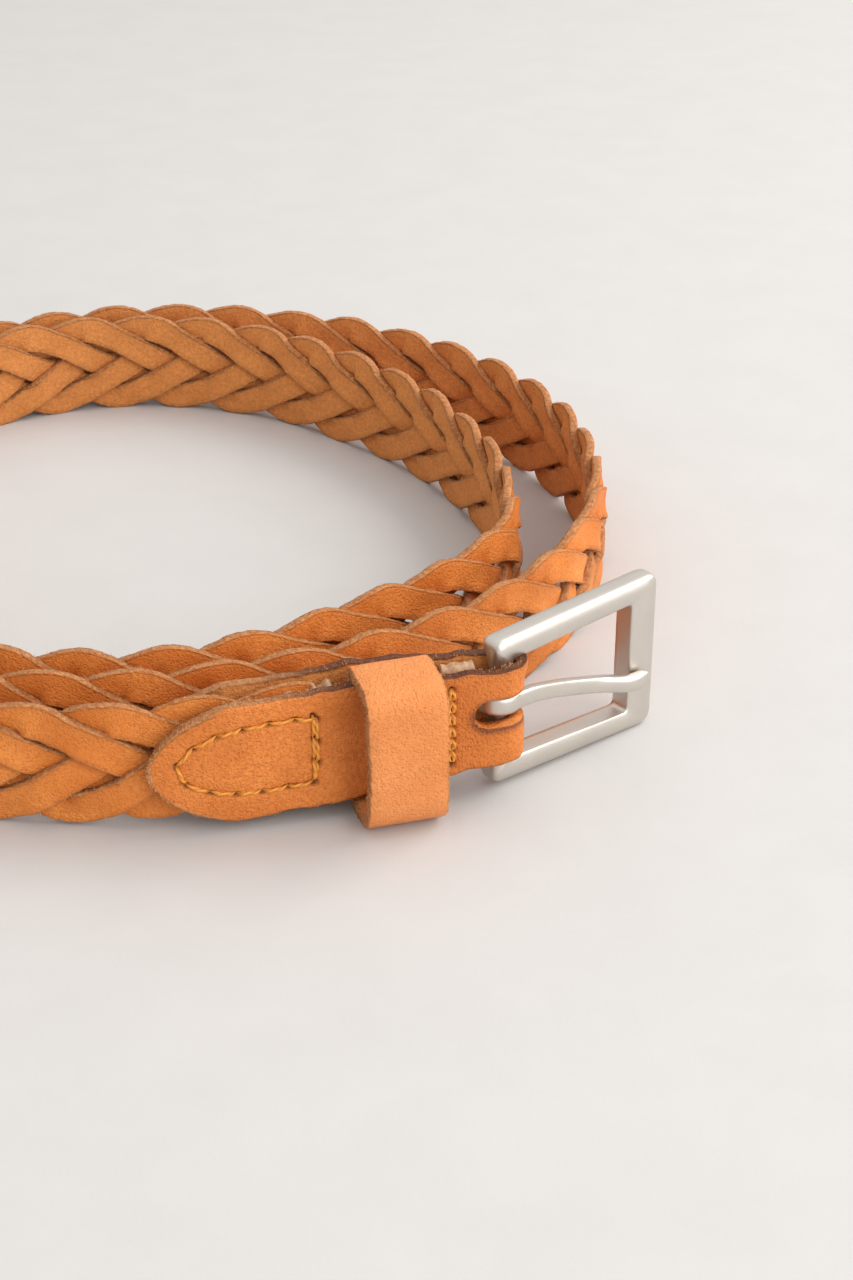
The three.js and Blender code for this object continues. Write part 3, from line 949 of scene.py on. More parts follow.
    def thong(self, number: int, offsets: np.ndarray) -> Shell:
        """Builds one thong.

        Args:
            number: The thong's number, from 1.
            offsets: The relaxed outward offsets of one period.

        Returns:
            The thong's shell.
        """
        step = self.period / self.sections
        first = math.ceil((self.start - self.shift) / step)
        last = math.floor((self.coil.length - self.end_margin - self.shift) / step)
        index = np.arange(first, last + 1)
        section = index - number * self.sections // self.count
        angle = section * 2 * math.pi / self.sections
        distance = index * step + self.shift
        lean = self.lean(angle)[:, None]
        wide = 1 + 0.035 * smooth_noise(distance / 31.0, number)
        points, cut, flesh = strip_profile(self.width, self.thickness)
        across = points[:, 0][None, :] * wide[:, None]
        side = np.abs(points[:, 0]) > self.width / 2 - 0.1
        ragged = rough_noise(across.size, 70 + number).reshape(across.shape) * 0.09
        across = across + np.where(side, np.sign(points[:, 0]) * ragged, 0.0)
        lane = np.clip(points[:, 0] / self.width + 0.5, 0.0, 1.0) * (self.lanes - 1)
        lanes = np.broadcast_to(lane, across.shape)
        sections = np.broadcast_to((section % self.sections)[:, None].astype(float), across.shape)
        squeeze = self.squeeze(distance)
        outward = self.sample(offsets, sections, lanes) * squeeze[:, None]
        ahead = self.sample(offsets, sections + 1, lanes)
        behind = self.sample(offsets, sections - 1, lanes)
        slope_along = (ahead - behind) / (2 * step)
        slope_along = slope_along * np.cos(lean)
        above = self.sample(offsets, sections, np.clip(lanes + 0.5, 0, self.lanes - 1))
        below = self.sample(offsets, sections, np.clip(lanes - 0.5, 0, self.lanes - 1))
        slope_across = (above - below) / (self.width / (self.lanes - 1))
        through = points[:, 1][None, :] * (1 + 0.03 * smooth_noise(distance / 17.0, number + 9)[:, None])
        tilt = 1 / np.sqrt(1 + slope_along**2 + slope_across**2)
        forward = -through * slope_along * tilt
        sideways = across - through * slope_across * tilt
        wobble = 0.16 * smooth_noise(distance / 23.0, number + 4)
        sway = 0.12 * smooth_noise(distance / 14.0, number + 2)
        along = distance[:, None] - np.sin(lean) * sideways + np.cos(lean) * forward
        up = (self.height(angle) + wobble)[:, None] + np.cos(lean) * sideways + np.sin(lean) * forward
        height = self.coil.strap_middle + np.maximum(up, -self.half_height + GROUND_GAP)
        out = outward + (through * tilt + sway[:, None]) * (0.4 + 0.6 * squeeze[:, None])
        rings = self.coil.place(along, out, height)
        # Darker grain along each thong's side edges, burnish and painted shade together, carried by the shade
        # mark.
        rim = np.clip((np.abs(points[:, 0]) - self.width * 0.36) / (self.width * 0.13), 0.0, 1.0) * (1 - cut)
        marks = {"cut": cut[None, :], "flesh": flesh[None, :], "shade": 0.22 * rim[None, :]}
        return Shell(f"braid_thong_{number}", rings, marks=marks)

    def build(self, finisher: Finisher) -> None:
        """Builds and dresses the five thongs.

        Args:
            finisher: Dresses the pieces.
        """
        offsets = self.relax()
        half = float(np.abs(offsets).max()) + self.thickness / 2
        LOG.info("thongs relaxed to %.2f mm half thickness", half)
        for number in range(1, self.count + 1):
            shell = self.thong(number, offsets)
            finisher.dress(shell.build(), Finish.STRAP, "strap_leather", "strap", f"thong_{number}")
            finisher.grow_fibres(f"thong_{number}_fibres", shell, Growth(*self.growth, number), "strap")


# ---- Leather leaves and stitching ----


@dataclass
class Seam:
    """A line of stitches on a leather face, as holes joined by thread."""

    holes: np.ndarray
    closed: bool = False

    def near(self, distance: np.ndarray, height: np.ndarray) -> tuple[np.ndarray, np.ndarray]:
        """Measures places on the leather against the seam.

        Args:
            distance: Along the coil.
            height: From the strap's middle line.

        Returns:
            The distance to the nearest hole, and to the line of the seam.
        """
        place = np.stack(np.broadcast_arrays(distance, height), -1)
        hole = np.full(place.shape[:-1], 1e9)
        line = np.full(place.shape[:-1], 1e9)
        count = len(self.holes)
        for i in range(count):
            gap = place - self.holes[i]
            before = self.holes[(i - 1) % count] if self.closed or i > 0 else self.holes[i]
            after = self.holes[(i + 1) % count] if self.closed or i < count - 1 else self.holes[i]
            way = (after - before) / max(np.linalg.norm(after - before), 1e-6)
            lengthwise = gap @ way
            sideways = gap @ np.array([-way[1], way[0]])
            hole = np.minimum(hole, np.hypot(lengthwise / 1.5, sideways))
            if i == count - 1 and not self.closed:
                continue
            step = self.holes[(i + 1) % count] - self.holes[i]
            share = np.clip((gap @ step) / (step @ step), 0.0, 1.0)
            line = np.minimum(line, np.linalg.norm(gap - share[..., None] * step, axis=-1))
        return hole, line


def seam_holes(corners: list[tuple[float, float]], pitch: float, closed: bool) -> np.ndarray:
    """Spaces stitch holes evenly along a path.

    Args:
        corners: The path's corners, as (distance, height).
        pitch: The stitch length.
        closed: Whether the path returns to its start.

    Returns:
        The holes.
    """
    path = np.array(corners + ([corners[0]] if closed else []), float)
    lengths = along_path(path)
    count = max(2, round(lengths[-1] / pitch))
    at = np.linspace(0.0, lengths[-1], count + 1)
    if closed:
        at = at[:-1]
    return np.stack([np.interp(at, lengths, path[:, 0]), np.interp(at, lengths, path[:, 1])], 1)


def outline_seam(start: float, end: float, halves: tuple[float, float], pitch: float) -> Seam:
    """Lays a closed seam with a straight row at its start and a round end.

    Args:
        start: The straight row's distance along the coil.
        end: The distance of the round end's furthest stitch.
        halves: How far the seam reaches above and below the strap's middle line.
        pitch: The stitch length.

    Returns:
        The seam.
    """
    high, low = halves
    round_length = 12
    corners = []
    for i in range(-6, 7):
        angle = i / 6 * math.pi / 2
        half = high if i > 0 else low
        corners.append((end - round_length + round_length * math.cos(angle), half * math.sin(angle)))
    corners += [(start, high), (start, -low)]
    return Seam(seam_holes(corners, pitch, True), True)


def straight_seam(distance: float, low: float, high: float, pitch: float) -> Seam:
    """Lays a straight row of stitches across the strap."""
    return Seam(seam_holes([(distance, low), (distance, high)], pitch, False))


@dataclass
class ThreadWork:
    """Stitches of twisted thread that dip into their holes."""

    coil: Coil
    radius: float = 0.31
    rise: float = 0.12
    dip: float = -0.62
    winding: float = 0.34
    twist: float = 1.9
    along: int = 15
    around: int = 12

    def stitch(
        self, start: np.ndarray, end: np.ndarray, face: float, side: int, cross: float, phase: float
    ) -> tuple[np.ndarray, np.ndarray]:
        """Shapes one stitch.

        Args:
            start: The first hole, as (distance, height).
            end: The second hole.
            face: How far outward the leather's face lies.
            side: 1 on the outer face and -1 on the inner face.
            cross: A sideways shift at the middle, for stitches that wind round each other.
            phase: The turn of the thread's twist.

        Returns:
            The stitch's rings and each point's place on the twist.
        """
        t = np.linspace(0.0, 1.0, self.along)
        way = end - start
        length = np.linalg.norm(way)
        side_way = np.array([-way[1], way[0]]) / length
        swell = np.sin(np.pi * t)
        path = start + t[:, None] * way + (cross * swell)[:, None] * side_way
        lift = self.dip + (self.rise - self.dip) * np.clip(swell * 1.35, 0.0, 1.0)
        spin = np.linspace(0.0, 2 * np.pi, self.around, endpoint=False)
        twist = t[:, None] * length * self.twist + phase
        ply = 0.5 + 0.5 * np.cos(2 * (spin[None, :] - twist))
        radius = self.radius * (0.80 + 0.25 * ply) * np.clip(0.55 + swell[:, None], 0.0, 1.0)
        sideways = np.cos(spin)[None, :] * radius
        out = np.sin(spin)[None, :] * radius * 0.85
        along = path[:, 0:1] + sideways * side_way[0]
        up = path[:, 1:2] + sideways * side_way[1]
        outward = side * (face + lift[:, None] + out)
        rings = self.coil.place(along, outward, self.coil.strap_middle + up)
        return rings, np.broadcast_to(ply, (self.along, self.around))

    def sew(
        self, name: str, seams: list[Seam], face: float, side: int, double: bool = False
    ) -> bpy.types.Object:
        """Builds all the stitches of a seam as one piece.

        Args:
            name: The piece's name.
            seams: The seams to sew.
            face: How far outward the leather's face lies.
            side: 1 on the outer face and -1 on the inner face.
            double: Whether two threads wind round each other.

        Returns:
            The stitching.
        """
        parts = []
        crosses = (-self.winding, self.winding) if double else (0.0,)
        for seam in seams:
            count = len(seam.holes)
            for i in range(count if seam.closed else count - 1):
                start = seam.holes[i]
                end = seam.holes[(i + 1) % count]
                for cross in crosses:
                    rings, ply = self.stitch(start, end, face, side, cross, phase=i * 0.9 + cross)
                    parts.append(Shell(f"{name}_{len(parts)}", rings, marks={"ply": ply}).build())
        return join(name, parts)


@dataclass
class Leaf:
    """The shape of a leather leaf's section and outline."""

    inner: float = 2.1
    thickness: float = 1.9
    point_length: float = 12.5

    @property
    def outer(self) -> float:
        """How far outward the leaf's grain face lies."""
        return self.inner + self.thickness

    def pointed(self, from_point: np.ndarray, half_width: np.ndarray) -> np.ndarray:
        """Gives half the width of a leaf that ends in a rounded point."""
        t = np.clip(from_point / self.point_length, 0.0006, 1.0)
        return half_width * (1 - (1 - t) ** 1.75) ** 0.58

    def profile(self, fine: int) -> tuple[np.ndarray, np.ndarray, np.ndarray, np.ndarray]:
        """Gives the leaf's section round its outline.

        Args:
            fine: How many points the grain face has.

        Returns:
            Each point's share across, from -1 to 1, its share through, from 0 on the flesh side to 1 on the
            grain side, and whether it is on a cut edge and on the flesh side.
        """
        face = np.linspace(-1.0, 1.0, fine)
        edge_through = np.array([0.90, 0.62, 0.32, 0.08])
        across = np.concatenate([face, np.ones(4), [0.97, 0.5, 0.0, -0.5, -0.97], -np.ones(4)])
        through = np.concatenate([np.ones(fine), edge_through, np.zeros(5), edge_through[::-1]])
        through[[0, fine - 1]] = 0.985
        cut = np.concatenate([np.zeros(fine), [0.8, 1, 1, 1], np.zeros(5), [1, 1, 1, 0.8]])
        flesh = np.concatenate([np.zeros(fine), [0, 0, 0.3, 1], np.ones(5), [1, 0.3, 0, 0]])
        return across, through, cut, flesh

    def point_sections(self, count: int) -> np.ndarray:
        """Gives the distances of sections over the point, from its start, closer together at its end."""
        return self.point_length * (1 - np.cos(np.linspace(0.0, math.pi / 2, count)))[::-1]

    def groove(self, hole: np.ndarray, line: np.ndarray) -> np.ndarray:
        """Gives how deep the stitches press into the grain.

        Args:
            hole: The distance to the nearest stitch hole.
            line: The distance to the line of the seam.

        Returns:
            The depth.
        """
        return 0.20 * np.exp(-((line / 0.6) ** 2)) + 0.6 * np.exp(-((hole / 0.42) ** 4))

    def pit(self, hole: np.ndarray) -> np.ndarray:
        """Gives how much painted shade darkens the leather in and round a stitch hole."""
        return np.exp(-((hole / 0.46) ** 4))


@dataclass(frozen=True)
class Packing:
    """Torn leather between the leaves.

    It runs from start to end along the tab. Its top is drop below the usual height, and ragged says how
    uneven it is, up to 1. It stands for the CAD nodes named.
    """

    name: str
    start: float
    end: float
    drop: float
    ragged: float
    nodes: tuple[str, ...]


@dataclass
class BuckleTab:
    """The leather tab: one piece folded round the bar, with the cap, the slot and its stitching."""

    coil: Coil
    leaf: Leaf = field(default_factory=Leaf)
    length: float = 52.0
    half_width: float = 9.5
    buckle_half_width: float = 7.8
    taper: tuple[float, float] = (2.0, 22.0)
    slot_reach: float = 4.5
    slot_half_height: float = 2.35
    slot_drop: float = -1.2
    cap_seam: tuple[float, float, float, float] = (28.2, 48.3, 5.9, 5.2)
    cap_pitch: float = 3.75
    cross_row_pitch: float = 3.7
    buckle_seam: tuple[float, float] = (7.7, 6.3)
    buckle_pitch: float = 2.1
    packings: tuple[Packing, ...] = (
        Packing("torn_packing", 25.0, 41.0, 0.0, 1.0, ("tab_filler",)),
        Packing("torn_flesh", 3.9, 8.7, 0.45, 0.3, ()),
    )
    packing_half_width: float = 8.6
    packing_half_thickness: float = 1.75
    growth: Growth = Growth(1500, 0.7, 31)
    thread_sunk: tuple[float, float] = (0.12, 0.1)
    fine: int = 85

    def width_at(self, distance: np.ndarray) -> np.ndarray:
        """Gives half the tab's width.

        Args:
            distance: Along the tab from the bar.

        Returns:
            Half the width there.
        """
        low, high = self.taper
        t = np.clip((distance - low) / (high - low), 0.0, 1.0)
        full = self.buckle_half_width + (self.half_width - self.buckle_half_width) * t
        return self.leaf.pointed(self.length - distance, full)

    def seams(self) -> tuple[Seam, Seam]:
        """Gives the cap's outline seam and the row at the buckle end."""
        start, end, high, low = self.cap_seam
        distance, half = self.buckle_seam
        cap = outline_seam(start, end, (high, low), self.cap_pitch)
        return cap, straight_seam(distance, -half, half, self.buckle_pitch)

    def cross_row(self) -> Seam:
        """Gives the second pass of thread along the cap's straight row."""
        start, _, high, low = self.cap_seam
        return straight_seam(start + 0.5, -low, high, self.cross_row_pitch)

    def path(self) -> tuple[np.ndarray, np.ndarray]:
        """Lays out the tab's sections from the back leaf's point, round the fold, to the cap's point.

        Returns:
            Each section's distance, and its angle round the bar.
        """
        cap = self.length - self.leaf.point_sections(26)
        flat = np.arange(0.0, self.length - self.leaf.point_length - 0.2, 0.45)
        front = np.concatenate([flat, cap[:-1], [self.length]])
        front = np.unique(np.round(front, 4))
        fold = np.linspace(-90.0, 90.0, 33)[1:-1]
        distance = np.concatenate([front[::-1], np.zeros(len(fold)), front])
        angle = np.concatenate([np.full(len(front), -90.0), fold, np.full(len(front), 90.0)])
        return distance, np.radians(angle)

    def leather(self) -> Shell:
        """Shapes the folded leather with its grooves and stitch holes."""
        distance, angle = self.path()
        across, through, cut, flesh = self.leaf.profile(self.fine)
        half = self.width_at(distance)
        wave = 1 + 0.012 * smooth_noise(distance / 19.0, 3.0)
        up = across[None, :] * (half * wave)[:, None]
        edge = np.clip((np.abs(up) - half[:, None] + 0.8) / 0.8, 0.0, 1.0)
        depth = self.leaf.inner + self.leaf.thickness * through[None, :]
        depth = depth - 0.16 * edge**3 * through[None, :]
        at = distance[:, None] - np.cos(angle)[:, None] * depth
        cap, row = self.seams()
        hole, line = cap.near(at, up)
        for seam in (row, self.cross_row()):
            more_hole, more_line = seam.near(at, up)
            hole = np.minimum(hole, more_hole)
            line = np.minimum(line, more_line)
        flat = (np.abs(np.sin(angle)) > 0.99)[:, None] & (through[None, :] > 0.9)
        groove = np.where(flat, self.leaf.groove(hole, line), 0.0)
        crown = 0.10 * smooth_noise(at / 21.0, 5.0) + 0.07 * smooth_noise(up / 13.0 + at / 37.0, 8.0)
        ragged = rough_noise(up.size, 5).reshape(up.shape) * 0.05 * (cut[None, :] > 0.5)
        depth = depth - groove + crown * through[None, :] * np.abs(np.sin(angle))[:, None]
        fold = np.cos(angle)[:, None] ** 2
        pinch = -0.42 * np.exp(-(((up + self.slot_drop) / 2.6) ** 2))
        pinch = pinch + 0.55 * np.clip((up - 4.5) / 4.0, 0.0, 1.0)
        depth = depth + fold * (pinch + 0.10 * smooth_noise(up / 9.0, 3.0))
        at = distance[:, None] - np.cos(angle)[:, None] * depth
        outward = np.sin(angle)[:, None] * depth
        lift = 0.22 * smooth_noise(at / 9.0, 14.0) * np.clip(np.abs(up) - 6.5, 0.0, 1.0) * (at < 34.0)
        rings = self.coil.place(at, outward, self.coil.strap_middle + up + ragged + lift)
        buckle_end = np.clip((36.0 - at) / 10.0, 0.0, 1.0)
        # Painted shade in the crease round the slot; the grain is also darker along its edges near the
        # buckle.
        slot_gap = np.hypot(np.maximum(at - self.slot_reach + 2.3, 0.0), up + self.slot_drop + 0.4)
        near_slot = np.clip((3.7 - slot_gap) / 1.2, 0.0, 1.0) * (at < 8.0)
        past_edge = np.abs(up) - half[:, None]
        shade = 0.75 * near_slot**2 + 0.35 * np.clip((past_edge + 0.55) / 0.55, 0, 1) * buckle_end
        rim = np.clip((past_edge + 0.65) / 0.3, 0.0, 1.0) * np.clip((at - 40.0) / 4.0, 0.0, 1.0)
        rim = np.maximum(rim, np.clip((at - self.length + 0.7) / 0.3, 0.0, 1.0))
        marks = {
            "cut": np.maximum(cut[None, :], 0.9 * rim),
            "flesh": flesh[None, :],
            "burnish": buckle_end,
            "pit": np.where(flat, self.leaf.pit(hole), 0.0),
            "shade": np.clip(shade, 0.0, 0.8) * (through[None, :] > 0.85),
        }
        return Shell("folded_tab", rings, marks=marks)

    def slot_cutter(self) -> bpy.types.Object:
        """Builds the oblong body that cuts the prong's slot."""
        half = self.slot_half_height
        end = self.slot_reach - half
        before_fold = -7.0
        outline = [(before_fold, -half)]
        for i in range(-8, 9):
            angle = i / 8 * math.pi / 2
            outline.append((end + half * math.cos(angle), half * math.sin(angle)))
        outline.append((before_fold, half))
        outline = np.array(outline)
        rings = []
        for outward in (-6.0, -2.0, 2.0, 6.0):
            height = self.coil.strap_middle - self.slot_drop + outline[:, 1]
            rings.append(self.coil.place(outline[:, 0], outward, height))
        return Shell("slot_cutter", np.array(rings), marks={"cut": np.ones((1, 1))}).build()

    def build_packing(self, packing: Packing) -> bpy.types.Object:
        """Builds torn leather between the leaves, its top ragged.

        Args:
            packing: Where it lies and how torn it is.

        Returns:
            The packing.
        """
        distance = np.linspace(packing.start, packing.end, round((packing.end - packing.start) * 5))
        t = np.linspace(0.0, 2 * np.pi, 28, endpoint=False)
        across = np.sign(np.cos(t)) * np.abs(np.cos(t)) ** 0.5 * self.packing_half_thickness
        up = np.sign(np.sin(t)) * np.abs(np.sin(t)) ** 0.5
        tear = rough_noise(len(distance) * len(t), 11).reshape(len(distance), len(t))
        waves = 0.5 * packing.ragged * smooth_noise(distance / 3.1, 2.0)
        narrowing = 1.6 * np.clip((distance - 30.0) / 11.0, 0.0, 1.0)
        half = self.packing_half_width - packing.drop + waves - narrowing
        height = half[:, None] * up[None, :] + 0.26 * packing.ragged * tear * (up[None, :] > 0.3)
        outward = across[None, :] + 0.08 * tear
        rings = self.coil.place(distance[:, None], outward, self.coil.strap_middle + height)
        return Shell(packing.name, rings).build()

    def build(self, finisher: Finisher) -> None:
        """Builds and dresses the tab, its packing and its stitching.

        Args:
            finisher: Dresses the pieces.
        """
        shell = self.leather()
        shown = shell.build()
        cut_away(shown, self.slot_cutter())
        finisher.dress(shown, Finish.TAB, "strap_leather", "strap", "buckle_tab")
        finisher.grow_fibres("tab_fibres", shell, self.growth, "strap")
        for packing in self.packings:
            shown = self.build_packing(packing)
            finisher.dress(shown, Finish.PACKING, "cut_leather", "strap", *packing.nodes)
        thread = ThreadWork(self.coil)
        cap, row = self.seams()
        cap_face, row_face = (self.leaf.outer - sunk for sunk in self.thread_sunk)
        for face, side in FACES:
            sewn = thread.sew(f"cap_thread_{face}", [cap, self.cross_row()], cap_face, side)
            finisher.dress(sewn, Finish.THREAD, "thread", "strap", f"cap_stitching_{face}")
            sewn = thread.sew(f"buckle_end_thread_{face}", [row], row_face, side, double=True)
            finisher.dress(sewn, Finish.THREAD, "thread", "strap", f"buckle_stitching_{face}")


@dataclass
class Tip:
    """The two sewn leaves at the strap's far end."""

    coil: Coil
    leaf: Leaf = field(default_factory=Leaf)
    length: float = 58.0
    half_width: float = 9.5
    inset: float = 3.4
    pitch: float = 3.1
    thread_sunk: float = 0.12

    def seam(self) -> Seam:
        """Gives the outline seam of the tip.

        Returns:
            The seam.
        """
        half = self.half_width - self.inset
        start = self.coil.length - self.length + self.inset
        return outline_seam(start, self.coil.length - self.inset, (half, half), self.pitch)

    def build_leaf(self, name: str, side: int) -> bpy.types.Object:
        """Builds one leaf.

        Args:
            name: The piece's name.
            side: 1 outside the coil and -1 inside.

        Returns:
            The leaf.
        """
        end = self.coil.length
        start = end - self.length
        flat = np.arange(start, end - self.leaf.point_length - 0.2, 0.6)
        point = end - self.leaf.point_sections(22)
        distance = np.unique(np.round(np.concatenate([flat, point]), 4))
        across, through, cut, flesh = self.leaf.profile(61)
        half = self.leaf.pointed(end - distance, np.full(len(distance), self.half_width))
        up = across[None, :] * half[:, None]
        hole, line = self.seam().near(distance[:, None], up)
        grain = through[None, :] > 0.9
        groove = np.where(grain, self.leaf.groove(hole, line), 0.0)
        depth = self.leaf.inner + self.leaf.thickness * through[None, :] - groove
        rings = self.coil.place(distance[:, None], side * depth, self.coil.strap_middle + up)
        marks = {
            "cut": cut[None, :],
            "flesh": flesh[None, :],
            "burnish": np.full((1, 1), 0.6),
            "pit": np.where(grain, self.leaf.pit(hole), 0.0),
        }
        return Shell(name, rings, marks=marks).build()

    def build(self, finisher: Finisher) -> None:
        """Builds and dresses the tip.

        Args:
            finisher: Dresses the pieces.
        """
        thread = ThreadWork(self.coil)
        thread_face = self.leaf.outer - self.thread_sunk
        for face, side in FACES:
            shown = self.build_leaf(f"tip_leaf_{face}", side)
            finisher.dress(shown, Finish.TAB, "strap_leather", "strap", f"tip_{face}_leaf")
            sewn = thread.sew(f"tip_thread_{face}", [self.seam()], thread_face, side)
            finisher.dress(sewn, Finish.THREAD, "thread", "strap", f"tip_stitching_{face}")


# ---- Keeper loop ----


@dataclass
class KeeperLoop:
    """A band of leather round the tab's front leaf, standing away from it in front."""

    coil: Coil
    distance: float = 16.7
    width: float = 11.9
    thickness: float = 2.1
    back: float = 1.35
    front: float = 11.9
    top: float = 24.2
    rounds: tuple[float, float, float, float] = (6.4, 4.2, 4.6, 4.6)
    yaw: float = 3.5
    bow: float = 0.55
    sections: int = 150
    growth: Growth = Growth(700, 0.55, 41)

    def outline(self) -> np.ndarray:
        """Gives the outside of the band, all round.

        Returns:
            Points as (outward, height).
        """
        left, right, low, high = -self.back, self.front, 0.0, self.top
        low_right, high_right, high_left, low_left = self.rounds
        corners = [
            ((right, low), (right - low_right, low), (right, low + low_right)),
            ((right, high), (right, high - high_right), (right - high_right, high)),
            ((left, high), (left + high_left, high), (left, high - high_left)),
            ((left, low), (left, low + low_left), (left + low_left, low)),
        ]
        points = []
        for corner, before, after in corners:
            points += rounded_corner(np.array(before), np.array(corner), np.array(after), 15)
        path = np.array(points + [points[0]])
        lengths = along_path(path)
        at = np.linspace(0.0, lengths[-1], self.sections, endpoint=False)
        return np.stack([np.interp(at, lengths, path[:, 0]), np.interp(at, lengths, path[:, 1])], 1)

    def band(self) -> Shell:
        """Shapes the band, a little bowed in front and turned on the tab.

        Returns:
            The band's shell.
        """
        outline = self.outline()
        step = np.roll(outline, -1, 0) - np.roll(outline, 1, 0)
        way = step / np.linalg.norm(step, axis=1, keepdims=True)
        inward = np.stack([-way[:, 1], way[:, 0]], 1)
        points, cut, flesh = strip_profile(self.width, self.thickness)
        through = (points[:, 1] - self.thickness / 2)[None, :]
        order = np.arange(len(outline)) / len(outline)
        rough = rough_noise(len(outline) * len(points), 21).reshape(len(outline), len(points))
        side = np.abs(points[:, 0]) > self.width / 2 - 0.1
        along = points[:, 0][None, :] * (1 + 0.012 * smooth_noise(order * 3, 2.0)[:, None])
        along = along + np.where(side, 0.14 * rough, 0.0)
        bow = 0.10 * smooth_noise(order[:, None] * 4 + points[:, 0][None, :] / 30, 6.0) - 0.1
        in_front = np.clip((outline[:, 0:1] - 7.0) / 4.0, 0.0, 1.0)
        bow = bow + self.bow * in_front * np.sin(np.clip(outline[:, 1:2] / self.top, 0.0, 1.0) * math.pi)
        outward = outline[:, 0:1] + inward[:, 0:1] * -(through + bow)
        height = np.maximum(outline[:, 1:2] + inward[:, 1:2] * -(through + bow), GROUND_GAP)
        line = self.coil.line(self.distance)
        way = self.coil.direction(self.distance)
        cosine = math.cos(math.radians(self.yaw))
        sine = math.sin(math.radians(self.yaw))
        forward = np.array([way[0] * cosine - way[1] * sine, way[0] * sine + way[1] * cosine])
        x = line[0] + forward[0] * along - forward[1] * outward
        y = line[1] + forward[1] * along + forward[0] * outward
        rings = np.stack([x, y, np.broadcast_to(height, x.shape)], -1)
        marks = {"cut": cut[None, :], "flesh": flesh[None, :]}
        return Shell("keeper_band", rings, closed=True, marks=marks)

    def build(self, finisher: Finisher) -> None:
        """Builds and dresses the keeper.

        Args:
            finisher: Dresses the pieces.
        """
        shell = self.band()
        finisher.dress(shell.build(), Finish.KEEPER, "keeper_leather", "keeper", "keeper_loop")
        finisher.grow_fibres("keeper_fibres", shell, self.growth, "keeper")


# ---- Buckle ----


